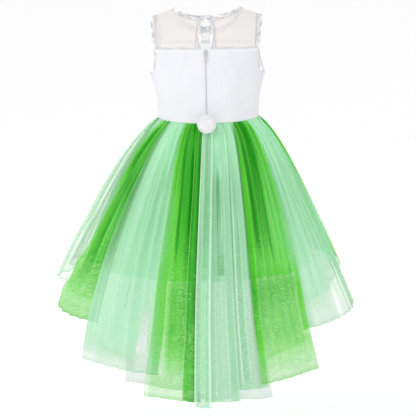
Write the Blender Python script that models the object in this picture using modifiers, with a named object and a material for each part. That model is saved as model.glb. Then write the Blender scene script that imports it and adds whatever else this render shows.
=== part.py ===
"""Girl's sleeveless tulle dress, worn shape with no wearer: sheer yoke, white bodice, gathered skirt.

Frame: metres, +Z up. The origin lies between the shoulders, level with the side neck points, where
the wearer's shoulders carry the dress. The front faces -Y, the back +Y, the wearer's left is +X.
Angles round the body start at the centre back and grow towards the wearer's right (-X).
"""

from collections import namedtuple
from math import acos, asin, cos, degrees, exp, pi, radians, sin, sqrt, tan

import bmesh
import bpy
import numpy as np
from mathutils import Matrix, Vector

# Cloth walls and the gaps between pieces
BODICE_WALL = 0.0016
SHEER_WALL = 0.0010
TULLE_WALL = 0.0010
LINING_WALL = 0.0010
BINDING_WALL = 0.0024
SEAM = 0.0004
WAIST_SEAM = 0.0009
BINDING_SEAM = 0.0005

# Levels, measured down from the side neck points
YOKE_Z = -0.076
UNDERARM_Z = -0.128
WAIST_Z = -0.2185
WAIST_DIP = 0.005

# Yoke and shoulders
NECK_HALF = 0.064
NECK_BACK = 0.056
NECK_FRONT_DROP = 0.0650
NECK_FRONT_POWER = 1.6
SHOULDER_SLOPE = 0.354
SHOULDER_TIP = 0.112
YOKE_ROWS = (0.0, 0.15, 0.3, 0.45, 0.6, 0.75, 0.9, 1.0)
NECK_COLUMNS = 10
SHOULDER_COLUMNS = 3

# Bias binding: its width on the armhole, and round the neck at the side and the back in plan and
# at the front in height
BINDING_WIDTH = 0.009
NECK_BINDING_SIDE = 0.008
NECK_BINDING_BACK = 0.0047
NECK_BINDING_FRONT = 0.0085
NECK_BINDING_STEPS = 40
BINDING_SHARES = (0.0, 0.5, 1.0)

# Keyhole at the centre back: half widths of the gap at its foot and at its head
KEYHOLE_FOOT = 0.0098
KEYHOLE_HEAD = 0.0022
KEYHOLE_CURVE = 0.6
NECK_END_X = 0.0015

# Armholes: how far the edge runs in from the shoulder tip, behind and in front
ARMHOLE_IN_BACK = 0.0065
ARMHOLE_IN_FRONT = 0.0080
ARMHOLE_IN_POWER = 1.5
ARMHOLE_POWER = 0.75
ARMHOLE_STEPS = (0, 18, 34, 48, 60, 70, 80, 90)
ARMHOLE_BINDING_FOOT = 0.0068
ARMHOLE_BINDING_TIP = 0.0088

# Bodice
ZIP_GAP = 0.0007
BODICE_COLUMNS = 8
BODICE_LOWER_ROWS = (0.0, 0.3, 0.6, 0.85)

# Zip
TAPE_HALF = 0.006
TAPE_WALL = 0.0009
TAPE_ENDS_IN = (0.004, 0.002)
TAPE_ROWS = 7
SLIDER_TOP_Z = -0.0785
SLIDER_SIZE = (0.0046, 0.0016, 0.0080)
BRIDGE_WIDTH = 0.0014
BRIDGE_HALF = 0.0030
BRIDGE_RISE = 0.0030
BRIDGE_BAR = 0.0008
BRIDGE_SUNK = 0.0004
BRIDGE_POWER = 0.8
PULL_LENGTH = 0.0200
PULL_TOP_HALF = 0.0021
PULL_FOOT_HALF = 0.0044
PULL_WALL = 0.0010
PULL_AXIS_RISE = 0.0013
PULL_EYE_HALF = 0.0011
PULL_EYE_LENGTH = 0.0047
PULL_BAR = 0.0009
PULL_RIM = 0.0010
PULL_HOLE_TOP_HALF = 0.0012

# Button and its thread loop at the neck
BUTTON_RADIUS = 0.0044
BUTTON_SHANK = 0.0016
BUTTON_LIFT = 0.0019
BUTTON_HEIGHT = 0.0046
BUTTON_X = -0.0060
BUTTON_STEPS = 16
BUTTON_TURNS = range(-30, 85, 18)
LOOP_WIRE = 0.0005
LOOP_PLAY = 0.0006
LOOP_LIFT = 0.0001
LOOP_REACH = 0.0095
LOOP_END_HALF = 0.0013
LOOP_MIDDLE = 0.6
LOOP_MIDDLE_HALF = 0.0018
WELD = 0.00001

# Pompom
POMPOM_RADIUS = 0.0192
POMPOM_Z = -0.2215
POMPOM_Y = 0.0990
POMPOM_SEAT = 0.0009
POMPOM_WAIST_HALF = 20
POMPOM_SIDE_REACH = 0.0035
POMPOM_LOCKS_PER_SIDE = 6
LOCK_HEIGHT = 0.0016

# Skirt
PUFF_FALL = 0.028
SPREAD_DROP = 0.36
SPREAD_SOFT = 0.5
WAIST_SQUARE = 0.35
WAIST_SQUARE_FALL = 0.060
GATHER_WAIST = 0.0015
GATHER_HEM = 0.0062
GATHER_GROWTH = 0.110
LAP_LIFT = 0.0024
LAP_DROP = 0.012
OUT_START = 0.200
OUT_SPAN = 0.130
OUT_LIMIT = 1.4
COLUMNS_PER_GATHER = 4
EDGE_NUDGE = 0.4
ROW_DROPS = (0.0, 0.012, 0.050, 0.130, 0.220, 0.310, 0.400)
LAST_ROW_LEAST = 0.040
UNDER_LEVELS = (0.0, 0.06, 0.25, 0.6, 1.0)
LINING_LEVELS = (0.0, 0.08, 0.3, 1.0)
UNDER_INSET_WAIST = 0.0033
UNDER_INSET_LAP = 0.0034
UNDER_INSET_HEM = 0.0082
UNDER_INSET_GROWTH = 0.090
UNDER_GATHERS = 18
UNDER_GATHER_DEPTH = 0.0045
UNDER_LEAST_STEPS = 6
LINING_INSET_WAIST = 0.0077
LINING_SLOPE_LOSS = 0.115
LINING_INSET = 0.0130
LINING_INSET_FALL = 0.1
LINING_DROP = 0.300
LINING_WAVES = 14
LINING_WAVE_START = 0.6
LINING_WAVE_DEPTH = 0.004
LINING_WAVE_FALL = 0.25

# Unevenness of the gathers: how many times round the body, size, and start in radians
Wave = namedtuple("Wave", "count size start")
GATHER_SPACINGS = (Wave(7, 0.9, 1.0), Wave(13, 0.7, 2.2))
GATHER_DEPTHS = Wave(11, 0.22, 0.4)
UNDER_SPACING = Wave(5, 0.8, 0.0)

# Torso sections: height, half width, depth behind, depth in front, squareness of the section
Section = namedtuple("Section", "z half back front square")
TORSO = (
    Section(-0.2185, 0.1005, 0.0730, 0.0750, 2.35),
    Section(-0.172, 0.1040, 0.0750, 0.0800, 2.35),
    Section(-0.128, 0.1145, 0.0775, 0.0820, 2.40),
    Section(-0.100, 0.1190, 0.0770, 0.0775, 2.50),
    Section(-0.076, 0.1250, 0.0750, 0.0720, 2.60),
)

# Skirt profile: waist half size, puff of the gathers, slope and how the slope eases off
Flare = namedtuple("Flare", "waist puff slope ease")
LEFT_FLARE = Flare(0.1005, 0.0150, 0.800, 0.750)
RIGHT_FLARE = Flare(0.1005, 0.0165, 0.526, 0.188)
BACK_FLARE = Flare(0.0730, 0.0140, 0.500, 0.200)
FRONT_FLARE = Flare(0.0750, 0.0220, 0.490, 0.250)

# Outer tulle panels, each from its own start to the start of the next one. Angles in degrees at the
# waist and at the hem, hem drops in metres at both edges, lap +1 over or -1 under the neighbour at
# both edges, how far the hem stands out, and the number of gathers.
Panel = namedtuple("Panel", "name waist hem drop drop_end lap lap_end out gathers")
GREEN = "green"
MINT = "mint"
PANELS = (
    Panel("tulle_left_side_mint", -104.0, -106.0, 0.330, 0.334, 1, -1, 0.021, 4),
    Panel("tulle_back_left_green", -61.0, -84.5, 0.386, 0.381, 1, -1, 0.0, 4),
    Panel("tulle_back_left_mint", -44.0, -49.0, 0.453, 0.463, 1, -1, 0.0, 5),
    Panel("tulle_back_centre_green", -21.2, -21.2, 0.500, 0.509, 1, -1, 0.0, 4),
    Panel("tulle_back_centre_mint_long", -2.0, -2.8, 0.516, 0.518, 1, 1, 0.0, 1),
    Panel("tulle_back_centre_mint", 3.0, 0.6, 0.508, 0.507, -1, 1, 0.0, 2),
    Panel("tulle_back_centre_mint_right", 14.0, 10.4, 0.489, 0.487, -1, -1, 0.0, 2),
    Panel("tulle_back_right_green", 26.0, 20.0, 0.480, 0.466, 1, 1, 0.0, 5),
    Panel("tulle_right_side_mint", 48.0, 40.4, 0.393, 0.385, -1, -1, 0.004, 8),
    Panel("tulle_front_right_green", 88.0, 88.0, 0.310, 0.300, 1, -1, 0.006, 5),
    Panel("tulle_front_right_mint", 122.0, 121.0, 0.307, 0.302, 1, -1, 0.004, 5),
    Panel("tulle_front_centre_green", 156.0, 155.0, 0.298, 0.300, 1, -1, 0.008, 5),
    Panel("tulle_front_left_mint", 190.0, 190.0, 0.306, 0.303, 1, -1, 0.004, 5),
    Panel("tulle_front_left_green", 224.0, 222.0, 0.300, 0.308, 1, -1, 0.008, 5),
)

# Under tulle panels: start angle at the waist and the hem drops at both edges
Under = namedtuple("Under", "name waist drop drop_end")
UNDER_PANELS = (
    Under("under_tulle_left_side", -103.0, 0.300, 0.306),
    Under("under_tulle_back_left", -62.0, 0.345, 0.352),
    Under("under_tulle_back_left_long", -44.0, 0.425, 0.440),
    Under("under_tulle_back_centre_left", -29.5, 0.484, 0.492),
    Under("under_tulle_back_centre", -3.0, 0.506, 0.510),
    Under("under_tulle_back_right", 29.0, 0.440, 0.412),
    Under("under_tulle_right_side", 50.0, 0.352, 0.288),
    Under("under_tulle_front_right", 122.0, 0.285, 0.285),
    Under("under_tulle_front_left", 190.0, 0.285, 0.294),
)


def hermite(xs, ys, x):
    """Smooth curve through a short table: cubic pieces with central-difference slopes."""
    xs = np.asarray(xs, float)
    ys = np.asarray(ys, float)
    slopes = np.gradient(ys, xs)
    x = min(max(x, xs[0]), xs[-1])
    i = min(int(np.searchsorted(xs, x, side="right")) - 1, len(xs) - 2)
    width = xs[i + 1] - xs[i]
    t = (x - xs[i]) / width
    rise = ys[i] * (2 * t**3 - 3 * t**2 + 1) + ys[i + 1] * (3 * t**2 - 2 * t**3)
    bend = slopes[i] * (t**3 - 2 * t**2 + t) + slopes[i + 1] * (t**3 - t**2)
    return float(rise + width * bend)


def smoothstep(x):
    """0 below 0, 1 above 1, and a smooth rise between."""
    x = min(max(x, 0.0), 1.0)
    return x * x * (3 - 2 * x)


def torso_value(column, z):
    """One of the torso table's columns at height z."""
    return hermite([s.z for s in TORSO], [getattr(s, column) for s in TORSO], z)


def uneven(wave, turn):
    """One wave of unevenness at a turn round the body, in radians."""
    return wave.size * sin(wave.count * turn + wave.start)


def signed_power(value, power):
    """The value's size raised to a power, with its own sign."""
    return abs(value) ** power * (1 if value >= 0 else -1)


def ring_point(angle, half, depth, square, z):
    """A point of a superellipse section, at an angle in radians from the centre back."""
    x = -half * signed_power(sin(angle), 2 / square)
    y = depth * signed_power(cos(angle), 2 / square)
    return (x, y, z)


def torso_depth(z, front):
    """Half depth of the torso at height z, behind or in front."""
    return torso_value("front" if front else "back", z)


def torso_point(angle, z):
    """A point of the bodice's middle surface."""
    depth = torso_depth(z, cos(angle) < 0)
    return ring_point(angle, torso_value("half", z), depth, torso_value("square", z), z)


def waist_dip(angle):
    """How far the waist seam dips below its side level, most at the centre back."""
    return WAIST_DIP * max(0.0, cos(angle)) ** 2


# Yoke surface: over each x it is a quarter ellipse from the yoke seam up to the shoulder ridge


def ridge_z(x):
    """Height of the shoulder ridge over x."""
    return (NECK_HALF - abs(x)) * SHOULDER_SLOPE


def yoke_depth(x, front):
    """Half depth of the yoke at its lower seam, over x."""
    last = TORSO[-1]
    share = min(abs(x) / last.half, 1.0)
    return (last.front if front else last.back) * (1 - share**last.square) ** (1 / last.square)


def yoke_point(x, climb, front):
    """A yoke point over x, where climb goes from 0 at the yoke seam to pi/2 on the ridge."""
    y = yoke_depth(x, front) * cos(climb)
    z = YOKE_Z + (ridge_z(x) - YOKE_Z) * sin(climb)
    return (x, -y if front else y, z)


def back_neck_climb(x, half, depth):
    """The climb at which the back neck curve, an ellipse in plan, crosses x."""
    y = SEAM / 2
    if abs(x) < half:
        y = max(depth * sqrt(1 - (x / half) ** 2), y)
    return acos(min(y / yoke_depth(x, False), 1))


def front_neck_climb(x, half, drop):
    """The climb at which the front neck curve, a scoop seen from the front, crosses x."""
    scoop = 0.0
    if abs(x) < half:
        scoop = (1 - (x / half) ** 2) ** (NECK_FRONT_POWER / 2)
    height = ridge_z(x) - YOKE_Z
    climb = asin(max(1 - drop * scoop / height, 0))
    return min(climb, acos(SEAM / 2 / yoke_depth(x, True)))


def neck_climb(x, half, past, front):
    """Where the neck curve crosses x, for a curve that lies past the neck edge by a share of the binding."""
    if front:
        return front_neck_climb(x, half, NECK_FRONT_DROP + past * NECK_BINDING_FRONT)
    return back_neck_climb(x, half, NECK_BACK + past * NECK_BINDING_BACK)


def neck_point(turn, share):
    """A point of the neck binding, share 0 at its free edge and 1 where it meets the yoke."""
    front = cos(turn) < 0
    half = NECK_HALF + share * NECK_BINDING_SIDE
    x = -half * sin(turn)
    if front:
        drop = (NECK_FRONT_DROP + share * NECK_BINDING_FRONT) * abs(cos(turn)) ** NECK_FRONT_POWER
        climb = asin(1 - drop / (ridge_z(x) - YOKE_Z))
    else:
        depth = (NECK_BACK + share * NECK_BINDING_BACK) * abs(cos(turn))
        climb = acos(depth / yoke_depth(x, front))
    return yoke_point(x, climb, front)


def armhole_x(row, front):
    """Half width of the yoke's armhole edge, row 0 at the yoke seam and 1 at the shoulder."""
    way_in = ARMHOLE_IN_FRONT if front else ARMHOLE_IN_BACK
    return SHOULDER_TIP - way_in * (1 - row) ** ARMHOLE_IN_POWER


def armhole_yoke_point(row, share, side, front):
    """Armhole binding over the yoke: share 0 at the free edge, 1 at the yoke."""
    width = ARMHOLE_BINDING_FOOT + (ARMHOLE_BINDING_TIP - ARMHOLE_BINDING_FOOT) * row
    x = armhole_x(row, front) - share * width
    return yoke_point(side * x, row * pi / 2, front)


def armhole_bodice_edge(step, share, front):
    """Depth and height of the armhole binding below the yoke seam, at a step in degrees."""
    x = armhole_x(0, front) - share * ARMHOLE_BINDING_FOOT
    reach = yoke_depth(x, front)
    drop = YOKE_Z - UNDERARM_Z + share * BINDING_WIDTH
    turn = radians(step)
    y = reach * max(cos(turn), 0) ** ARMHOLE_POWER
    return y, YOKE_Z - drop * sin(turn)


def torso_at_depth(y, z, side, front):
    """The bodice's middle surface at depth y from the side seam."""
    square = torso_value("square", z)
    x = torso_value("half", z) * (1 - (y / torso_depth(z, front)) ** square) ** (1 / square)
    return (side * x, -y if front else y, z)


def armhole_bodice_point(step, share, side, front):
    """Armhole binding below the yoke seam."""
    y, z = armhole_bodice_edge(step, share, front)
    return torso_at_depth(y, z, side, front)


# Skirt surface


def boundary_table(column):
    """Waist angles of the panel edges and another column beside them, closed over a full turn."""
    waist = [p.waist for p in PANELS] + [PANELS[0].waist + 360]
    values = [getattr(p, column) for p in PANELS]
    wrap = 360 if column == "hem" else 0
    return waist, values + [values[0] + wrap]


def wrapped(waist):
    """A waist angle brought into the panels' own turn."""
    start = PANELS[0].waist
    return start + (waist - start) % 360


def hem_angle(waist):
    """The angle at the hem of the thread that starts at this waist angle."""
    turns = waist - wrapped(waist)
    xs, ys = boundary_table("hem")
    return float(np.interp(wrapped(waist), xs, ys)) + turns


def column_waist(column):
    """The waist angle of a column, counted from the first panel's start, before or past it too."""
    turns, inside = divmod(column, TOTAL_GATHERS * COLUMNS_PER_GATHER)
    edges = np.concatenate([[0], np.cumsum([p.gathers for p in PANELS])]) * COLUMNS_PER_GATHER
    xs, _ = boundary_table("hem")
    return float(np.interp(inside, edges, xs)) + 360 * turns


def panel_at(waist):
    """The panel that a waist angle falls in, and the share of its width where it does."""
    xs, _ = boundary_table("hem")
    index = int(np.searchsorted(xs, wrapped(waist), side="right")) - 1
    return PANELS[index], (wrapped(waist) - xs[index]) / (xs[index + 1] - xs[index])


def panel_swell(waist, drop):
    """How far a panel's middle stands out below the lining, nothing at its two edges."""
    panel, share = panel_at(waist)
    grown = min(max((drop - OUT_START) / OUT_SPAN, 0.0), OUT_LIMIT)
    return panel.out * sin(pi * share) * grown


def gather_count(waist):
    """How many gathers lie between the first panel's start and this waist angle."""
    xs = [p.waist for p in PANELS] + [PANELS[0].waist + 360]
    ys = np.concatenate([[0], np.cumsum([p.gathers for p in PANELS])])
    return float(np.interp(wrapped(waist), xs, ys))


TOTAL_GATHERS = sum(p.gathers for p in PANELS)


def thread_angle(waist, drop):
    """The angle, in degrees, of a thread at a drop below the waist."""
    reach = drop / SPREAD_DROP
    share = smoothstep(reach) * SPREAD_SOFT + min(reach, 1) * (1 - SPREAD_SOFT)
    return waist + (hem_angle(waist) - waist) * share


def flare_at(flare, drop):
    """Half size of the skirt at a drop, for one direction."""
    puff = flare.puff * (1 - exp(-drop / PUFF_FALL))
    return flare.waist + puff + flare.slope * drop - flare.ease * drop**2


def gather_wave(waist, drop):
    """Outward shift of the gathers: uneven in spacing and depth, deeper towards the hem."""
    turn = 2 * pi * gather_count(waist) / TOTAL_GATHERS
    phase = TOTAL_GATHERS * turn + sum(uneven(wave, turn) for wave in GATHER_SPACINGS)
    depth = 1 - GATHER_DEPTHS.size + uneven(GATHER_DEPTHS, turn)
    grown = 1 - exp(-drop / GATHER_GROWTH)
    return (GATHER_WAIST + (GATHER_HEM - GATHER_WAIST) * grown) * depth * sin(phase)


def under_wave(waist, drop):
    """Outward shift of the under tulle's soft gathers."""
    turn = radians(waist)
    grown = 1 - exp(-drop / GATHER_GROWTH)
    return UNDER_GATHER_DEPTH * grown * sin(UNDER_GATHERS * turn + uneven(UNDER_SPACING, turn))


def skirt_point(waist, drop, inward=0.0, shift=0.0):
    """A skirt point: the thread's angle and drop, moved in from the outer surface and shifted out."""
    angle = radians(thread_angle(waist, drop))
    square = 2 + WAIST_SQUARE * exp(-drop / WAIST_SQUARE_FALL)
    out = panel_swell(waist, drop)
    half = flare_at(RIGHT_FLARE if sin(angle) > 0 else LEFT_FLARE, drop) + out - inward
    deep = flare_at(FRONT_FLARE if cos(angle) < 0 else BACK_FLARE, drop) + out - inward
    x, y, _ = ring_point(angle, half, deep, square, 0)
    away = Vector((x / half**2, y / deep**2, 0)).normalized()
    place = Vector((x, y, WAIST_Z - WAIST_SEAM - waist_dip(angle) - drop))
    return place + away * shift


# Making objects


def linear(hex_colour):
    """An sRGB hex colour as linear RGBA."""
    values = [int(hex_colour[i : i + 2], 16) / 255 for i in (0, 2, 4)]
    return [v / 12.92 if v <= 0.04045 else ((v + 0.055) / 1.055) ** 2.4 for v in values] + [1.0]


def make_material(name, hex_colour, roughness, metallic=0.0):
    """A Principled BSDF of one colour."""
    material = bpy.data.materials.new(name)
    material.use_nodes = True
    shader = material.node_tree.nodes["Principled BSDF"]
    shader.inputs["Base Color"].default_value = linear(hex_colour)
    shader.inputs["Roughness"].default_value = roughness
    shader.inputs["Metallic"].default_value = metallic
    return material


def place(name, data, material, collection):
    """Links an object with its material to the dress's collection."""
    obj = bpy.data.objects.new(name, data)
    collection.objects.link(obj)
    data.materials.append(material)
    return obj


def cloth(name, rows, wall, material, collection, closed=False):
    """An open sheet from rows of points, given its wall by Solidify. closed joins each row's ends."""
    count = len(rows[0])
    points = [tuple(p) for row in rows for p in row]
    across = count if closed else count - 1
    faces = []
    for r in range(len(rows) - 1):
        for c in range(across):
            d = (c + 1) % count
            faces.append((r * count + c, r * count + d, (r + 1) * count + d, (r + 1) * count + c))
    mesh = bpy.data.meshes.new(name)
    mesh.from_pydata(points, [], faces)
    mesh.shade_smooth()
    obj = place(name, mesh, material, collection)
    solidify = obj.modifiers.new("wall", "SOLIDIFY")
    solidify.thickness = wall
    solidify.offset = 0
    solidify.use_quality_normals = True
    return obj


def spread(start, end, count):
    """Evenly spaced values from start to end."""
    return [start + (end - start) * i / (count - 1) for i in range(count)]


# Bodice


def bodice_rows(front):
    """Heights of the bodice's rows with the armhole step of each, or None below the armhole."""
    _, low = armhole_bodice_edge(90, 1 + BINDING_SEAM / BINDING_WIDTH, front)
    rows = [(WAIST_Z + (low - WAIST_Z) * share, None) for share in BODICE_LOWER_ROWS]
    return rows + [(None, step) for step in reversed(ARMHOLE_STEPS)]


def bodice_panel_rows(front, side):
    """Rows of a bodice half, from the centre to the side seam or the armhole binding."""
    rows = []
    for z, step in bodice_rows(front):
        if step is None:
            y = SEAM / 2
        else:
            y, z = armhole_bodice_edge(step, 1 + BINDING_SEAM / BINDING_WIDTH, front)
            y = max(y, SEAM / 2)
            z -= SEAM / 2 if step == ARMHOLE_STEPS[0] else 0
        square = torso_value("square", z)
        ratio = y / torso_depth(z, front)
        last = pi / 2 - np.arcsin(min(ratio ** (square / 2), 1))
        first = (ZIP_GAP / torso_value("half", z)) ** (square / 2) if not front else 0.0
        row = []
        for turn in spread(first, last, BODICE_COLUMNS):
            angle = turn if not front else pi - turn
            x, y_here, z_here = torso_point(angle, z)
            if z <= WAIST_Z:
                z_here -= waist_dip(angle)
            row.append((abs(x) * side, y_here, z_here))
        rows.append(row)
    return rows


def build_bodice(collection, white):
    """The front in one piece and the two backs, which meet at the zip."""
    half = bodice_panel_rows(True, 1)
    full = [[(-x, y, z) for x, y, z in reversed(row[1:])] + row for row in half]
    cloth("bodice_front", full, BODICE_WALL, white, collection)
    cloth("bodice_back_left", bodice_panel_rows(False, 1), BODICE_WALL, white, collection)
    cloth("bodice_back_right", bodice_panel_rows(False, -1), BODICE_WALL, white, collection)


# Yoke and bindings


def keyhole_half(row):
    """Half width of the keyhole at a yoke row."""
    return KEYHOLE_HEAD + (KEYHOLE_FOOT - KEYHOLE_HEAD) * (1 - row) ** KEYHOLE_CURVE


def yoke_low():
    """The climb of the yoke's lowest row, half a seam above the yoke seam."""
    return SEAM / 2 / (ridge_z(0) - YOKE_Z)


def yoke_row_point(x, row, front, side):
    """A yoke point over x at a row between the yoke seam and the neck binding's seam."""
    half = NECK_HALF + NECK_BINDING_SIDE + BINDING_SEAM
    past = 1 + BINDING_SEAM / (NECK_BINDING_FRONT if front else NECK_BINDING_BACK)
    low = yoke_low()
    return yoke_point(side * x, low + row * (neck_climb(x, half, past, front) - low), front)


def yoke_half_rows(front, side):
    """Rows of one yoke half, from the keyhole or the centre out to the armhole binding."""
    half = NECK_HALF + NECK_BINDING_SIDE + BINDING_SEAM
    rows = []
    for row in YOKE_ROWS:
        inner = 0.0 if front else keyhole_half(row) + BINDING_WIDTH + BINDING_SEAM
        width = ARMHOLE_BINDING_FOOT + (ARMHOLE_BINDING_TIP - ARMHOLE_BINDING_FOOT) * row
        outer = armhole_x(row, front) - width - BINDING_SEAM
        xs = [inner + (half - inner) * sin(turn) for turn in spread(0, pi / 2, NECK_COLUMNS + 1)]
        xs += spread(half, outer, SHOULDER_COLUMNS + 1)[1:]
        rows.append([yoke_row_point(x, row, front, side) for x in xs])
    return rows


def build_yoke(collection, sheer):
    """The sheer front yoke and the two back yokes beside the keyhole."""
    half = yoke_half_rows(True, 1)
    full = [[(-x, y, z) for x, y, z in reversed(row[1:])] + row for row in half]
    cloth("yoke_front", full, SHEER_WALL, sheer, collection)
    cloth("yoke_back_left", yoke_half_rows(False, 1), SHEER_WALL, sheer, collection)
    cloth("yoke_back_right", yoke_half_rows(False, -1), SHEER_WALL, sheer, collection)


def build_bindings(collection, satin):
    """Satin bias binding round the neck, the keyhole and the armholes."""
    end = NECK_END_X / NECK_HALF
    turns = spread(end, 2 * pi - end, NECK_BINDING_STEPS + 1)
    rows = [[neck_point(turn, share) for turn in turns] for share in BINDING_SHARES]
    cloth("neck_binding", rows, BINDING_WALL, satin, collection)
    for side, word in ((1, "left"), (-1, "right")):
        rows = []
        for row in YOKE_ROWS:
            xs = [keyhole_half(row) + share * BINDING_WIDTH for share in BINDING_SHARES]
            rows.append([yoke_row_point(x, row, False, side) for x in xs])
        cloth(f"keyhole_binding_{word}", rows, BINDING_WALL, satin, collection)
        rows = []
        for share in BINDING_SHARES:
            ring = [armhole_yoke_point(row, share, side, False) for row in reversed(YOKE_ROWS)]
            ring += [armhole_bodice_point(step, share, side, False) for step in ARMHOLE_STEPS[1:]]
            ring += [armhole_bodice_point(step, share, side, True) for step in reversed(ARMHOLE_STEPS[1:-1])]
            ring += [armhole_yoke_point(row, share, side, True) for row in YOKE_ROWS[:-1]]
            rows.append(ring)
        cloth(f"armhole_binding_{word}", rows, BINDING_WALL, satin, collection, closed=True)


# Button, zip and pompom


def back_frame(x):
    """Where the neck binding's outer face lies at the centre back over x: point, up, out."""
    turn = x / -NECK_HALF
    up = (Vector(neck_point(turn, 0.0)) - Vector(neck_point(turn, 1.0))).normalized()
    out = up.cross(Vector((1, 0, 0))).normalized()
    out = out if out.y > 0 else -out
    return Vector(neck_point(turn, 0.5)) + out * BINDING_WALL / 2, up, out


def build_button(collection, pearl, thread):
    """A shank button on the right end of the neck binding, and its thread loop on the left end."""
    foot, up, out = back_frame(BUTTON_X)
    across = up.cross(out).normalized()
    turned = Matrix((across, up, out)).transposed().to_4x4()
    middle = (BUTTON_LIFT + BUTTON_HEIGHT) / 2
    rise = (BUTTON_HEIGHT - BUTTON_LIFT) / 2
    profile = [(0.0, SEAM), (BUTTON_SHANK, SEAM), (BUTTON_SHANK, BUTTON_LIFT)]
    turns = [radians(d) for d in BUTTON_TURNS]
    profile += [(BUTTON_RADIUS * cos(turn), middle + rise * sin(turn)) for turn in turns]
    profile += [(0.0, BUTTON_HEIGHT)]
    mesh = bpy.data.meshes.new("neck_button")
    mesh.from_pydata([(r, 0, h) for r, h in profile], [(i, i + 1) for i in range(len(profile) - 1)], [])
    button = place("neck_button", mesh, pearl, collection)
    button.matrix_world = Matrix.Translation(foot) @ turned
    screw = button.modifiers.new("turn", "SCREW")
    screw.steps = BUTTON_STEPS
    screw.render_steps = BUTTON_STEPS
    screw.use_merge_vertices = True
    screw.merge_threshold = WELD
    screw.use_normal_flip = True

    # The loop leaves the left end, rounds the shank under the button's head and comes back
    shank = BUTTON_SHANK + LOOP_WIRE + LOOP_PLAY
    leg = [(LOOP_REACH, LOOP_END_HALF), (LOOP_REACH * LOOP_MIDDLE, LOOP_MIDDLE_HALF)]
    route = leg + [(shank * cos(radians(d)), shank * sin(radians(d))) for d in range(60, 301, 30)]
    route += [(along, -high) for along, high in reversed(leg)]
    lift = SEAM + LOOP_WIRE + LOOP_LIFT
    curve = bpy.data.curves.new("neck_button_loop", "CURVE")
    curve.dimensions = "3D"
    spline = curve.splines.new("POLY")
    spline.points.add(len(route) - 1)
    for point, (along, high) in zip(spline.points, route):
        where = foot + Vector((1, 0, 0)) * along + up * high + out * lift
        point.co = (*where, 1)
    curve.bevel_depth = LOOP_WIRE
    curve.bevel_resolution = 1
    curve.use_fill_caps = True
    place("neck_button_loop", curve, thread, collection)


def tape_y(z):
    """Middle of the zip tape, just inside the bodice backs."""
    return torso_depth(z, False) - BODICE_WALL / 2 - SEAM - TAPE_WALL / 2


def slider_face_y():
    """The face of the bodice that the slider lies on."""
    heights = spread(SLIDER_TOP_Z - SLIDER_SIZE[2], SLIDER_TOP_Z, 3)
    return max(torso_depth(z, False) for z in heights) + BODICE_WALL / 2 + SEAM


def pull_axis():
    """The axis of the pull tab: the middle of its bar under the slider's bridge."""
    return Vector((0, slider_face_y() + SLIDER_SIZE[1] + PULL_AXIS_RISE, SLIDER_TOP_Z - SLIDER_SIZE[2] / 2))


def outline(name, loops, half_thickness):
    """A flat curve of closed loops, filled and extruded."""
    curve = bpy.data.curves.new(name, "CURVE")
    curve.dimensions = "2D"
    curve.fill_mode = "BOTH"
    curve.extrude = half_thickness
    for loop in loops:
        spline = curve.splines.new("POLY")
        spline.points.add(len(loop) - 1)
        for point, (u, v) in zip(spline.points, loop):
            point.co = (u, v, 0, 1)
        spline.use_cyclic_u = True
    return curve


def as_mesh(obj):
    """The evaluated shape of a curve object as a welded mesh object of the same name and place."""
    bpy.context.view_layer.update()
    graph = bpy.context.evaluated_depsgraph_get()
    mesh = bpy.data.meshes.new_from_object(obj.evaluated_get(graph))
    shape = bmesh.new()
    shape.from_mesh(mesh)
    bmesh.ops.remove_doubles(shape, verts=shape.verts, dist=WELD)
    shape.to_mesh(mesh)
    shape.free()
    solid = bpy.data.objects.new(obj.name + "_mesh", mesh)
    solid.matrix_world = obj.matrix_world.copy()
    for owner in obj.users_collection:
        owner.objects.link(solid)
    bpy.data.objects.remove(obj)
    return solid


def arch_points(half, rise):
    """An arch from one foot to the other, steeper than an ellipse at its feet."""
    turns = [radians(d) for d in range(0, 181, 20)]
    return [(-half * cos(turn), rise * max(sin(turn), 0) ** BRIDGE_POWER) for turn in turns]


def pull_loops():
    """The pull tab's edge, the eye that the bridge passes through, and the hole in its wide foot."""
    top = PULL_BAR / 2
    neck = -PULL_EYE_LENGTH - PULL_BAR
    centre = -PULL_LENGTH + PULL_FOOT_HALF
    turns = [radians(d) for d in range(0, -181, -20)]
    edge = [(PULL_TOP_HALF, top), (PULL_TOP_HALF, neck)]
    edge += [(PULL_FOOT_HALF * cos(turn), centre + PULL_FOOT_HALF * sin(turn)) for turn in turns]
    edge += [(-PULL_TOP_HALF, neck), (-PULL_TOP_HALF, top)]
    side = PULL_EYE_HALF
    eye = [(-side, -top), (side, -top), (side, -PULL_EYE_LENGTH), (-side, -PULL_EYE_LENGTH)]
    low = PULL_FOOT_HALF - PULL_RIM
    hole = [(low * cos(turn), centre + low * sin(turn)) for turn in turns]
    hole += [(-PULL_HOLE_TOP_HALF, neck - PULL_RIM), (PULL_HOLE_TOP_HALF, neck - PULL_RIM)]
    return [edge, eye, hole]


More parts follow.
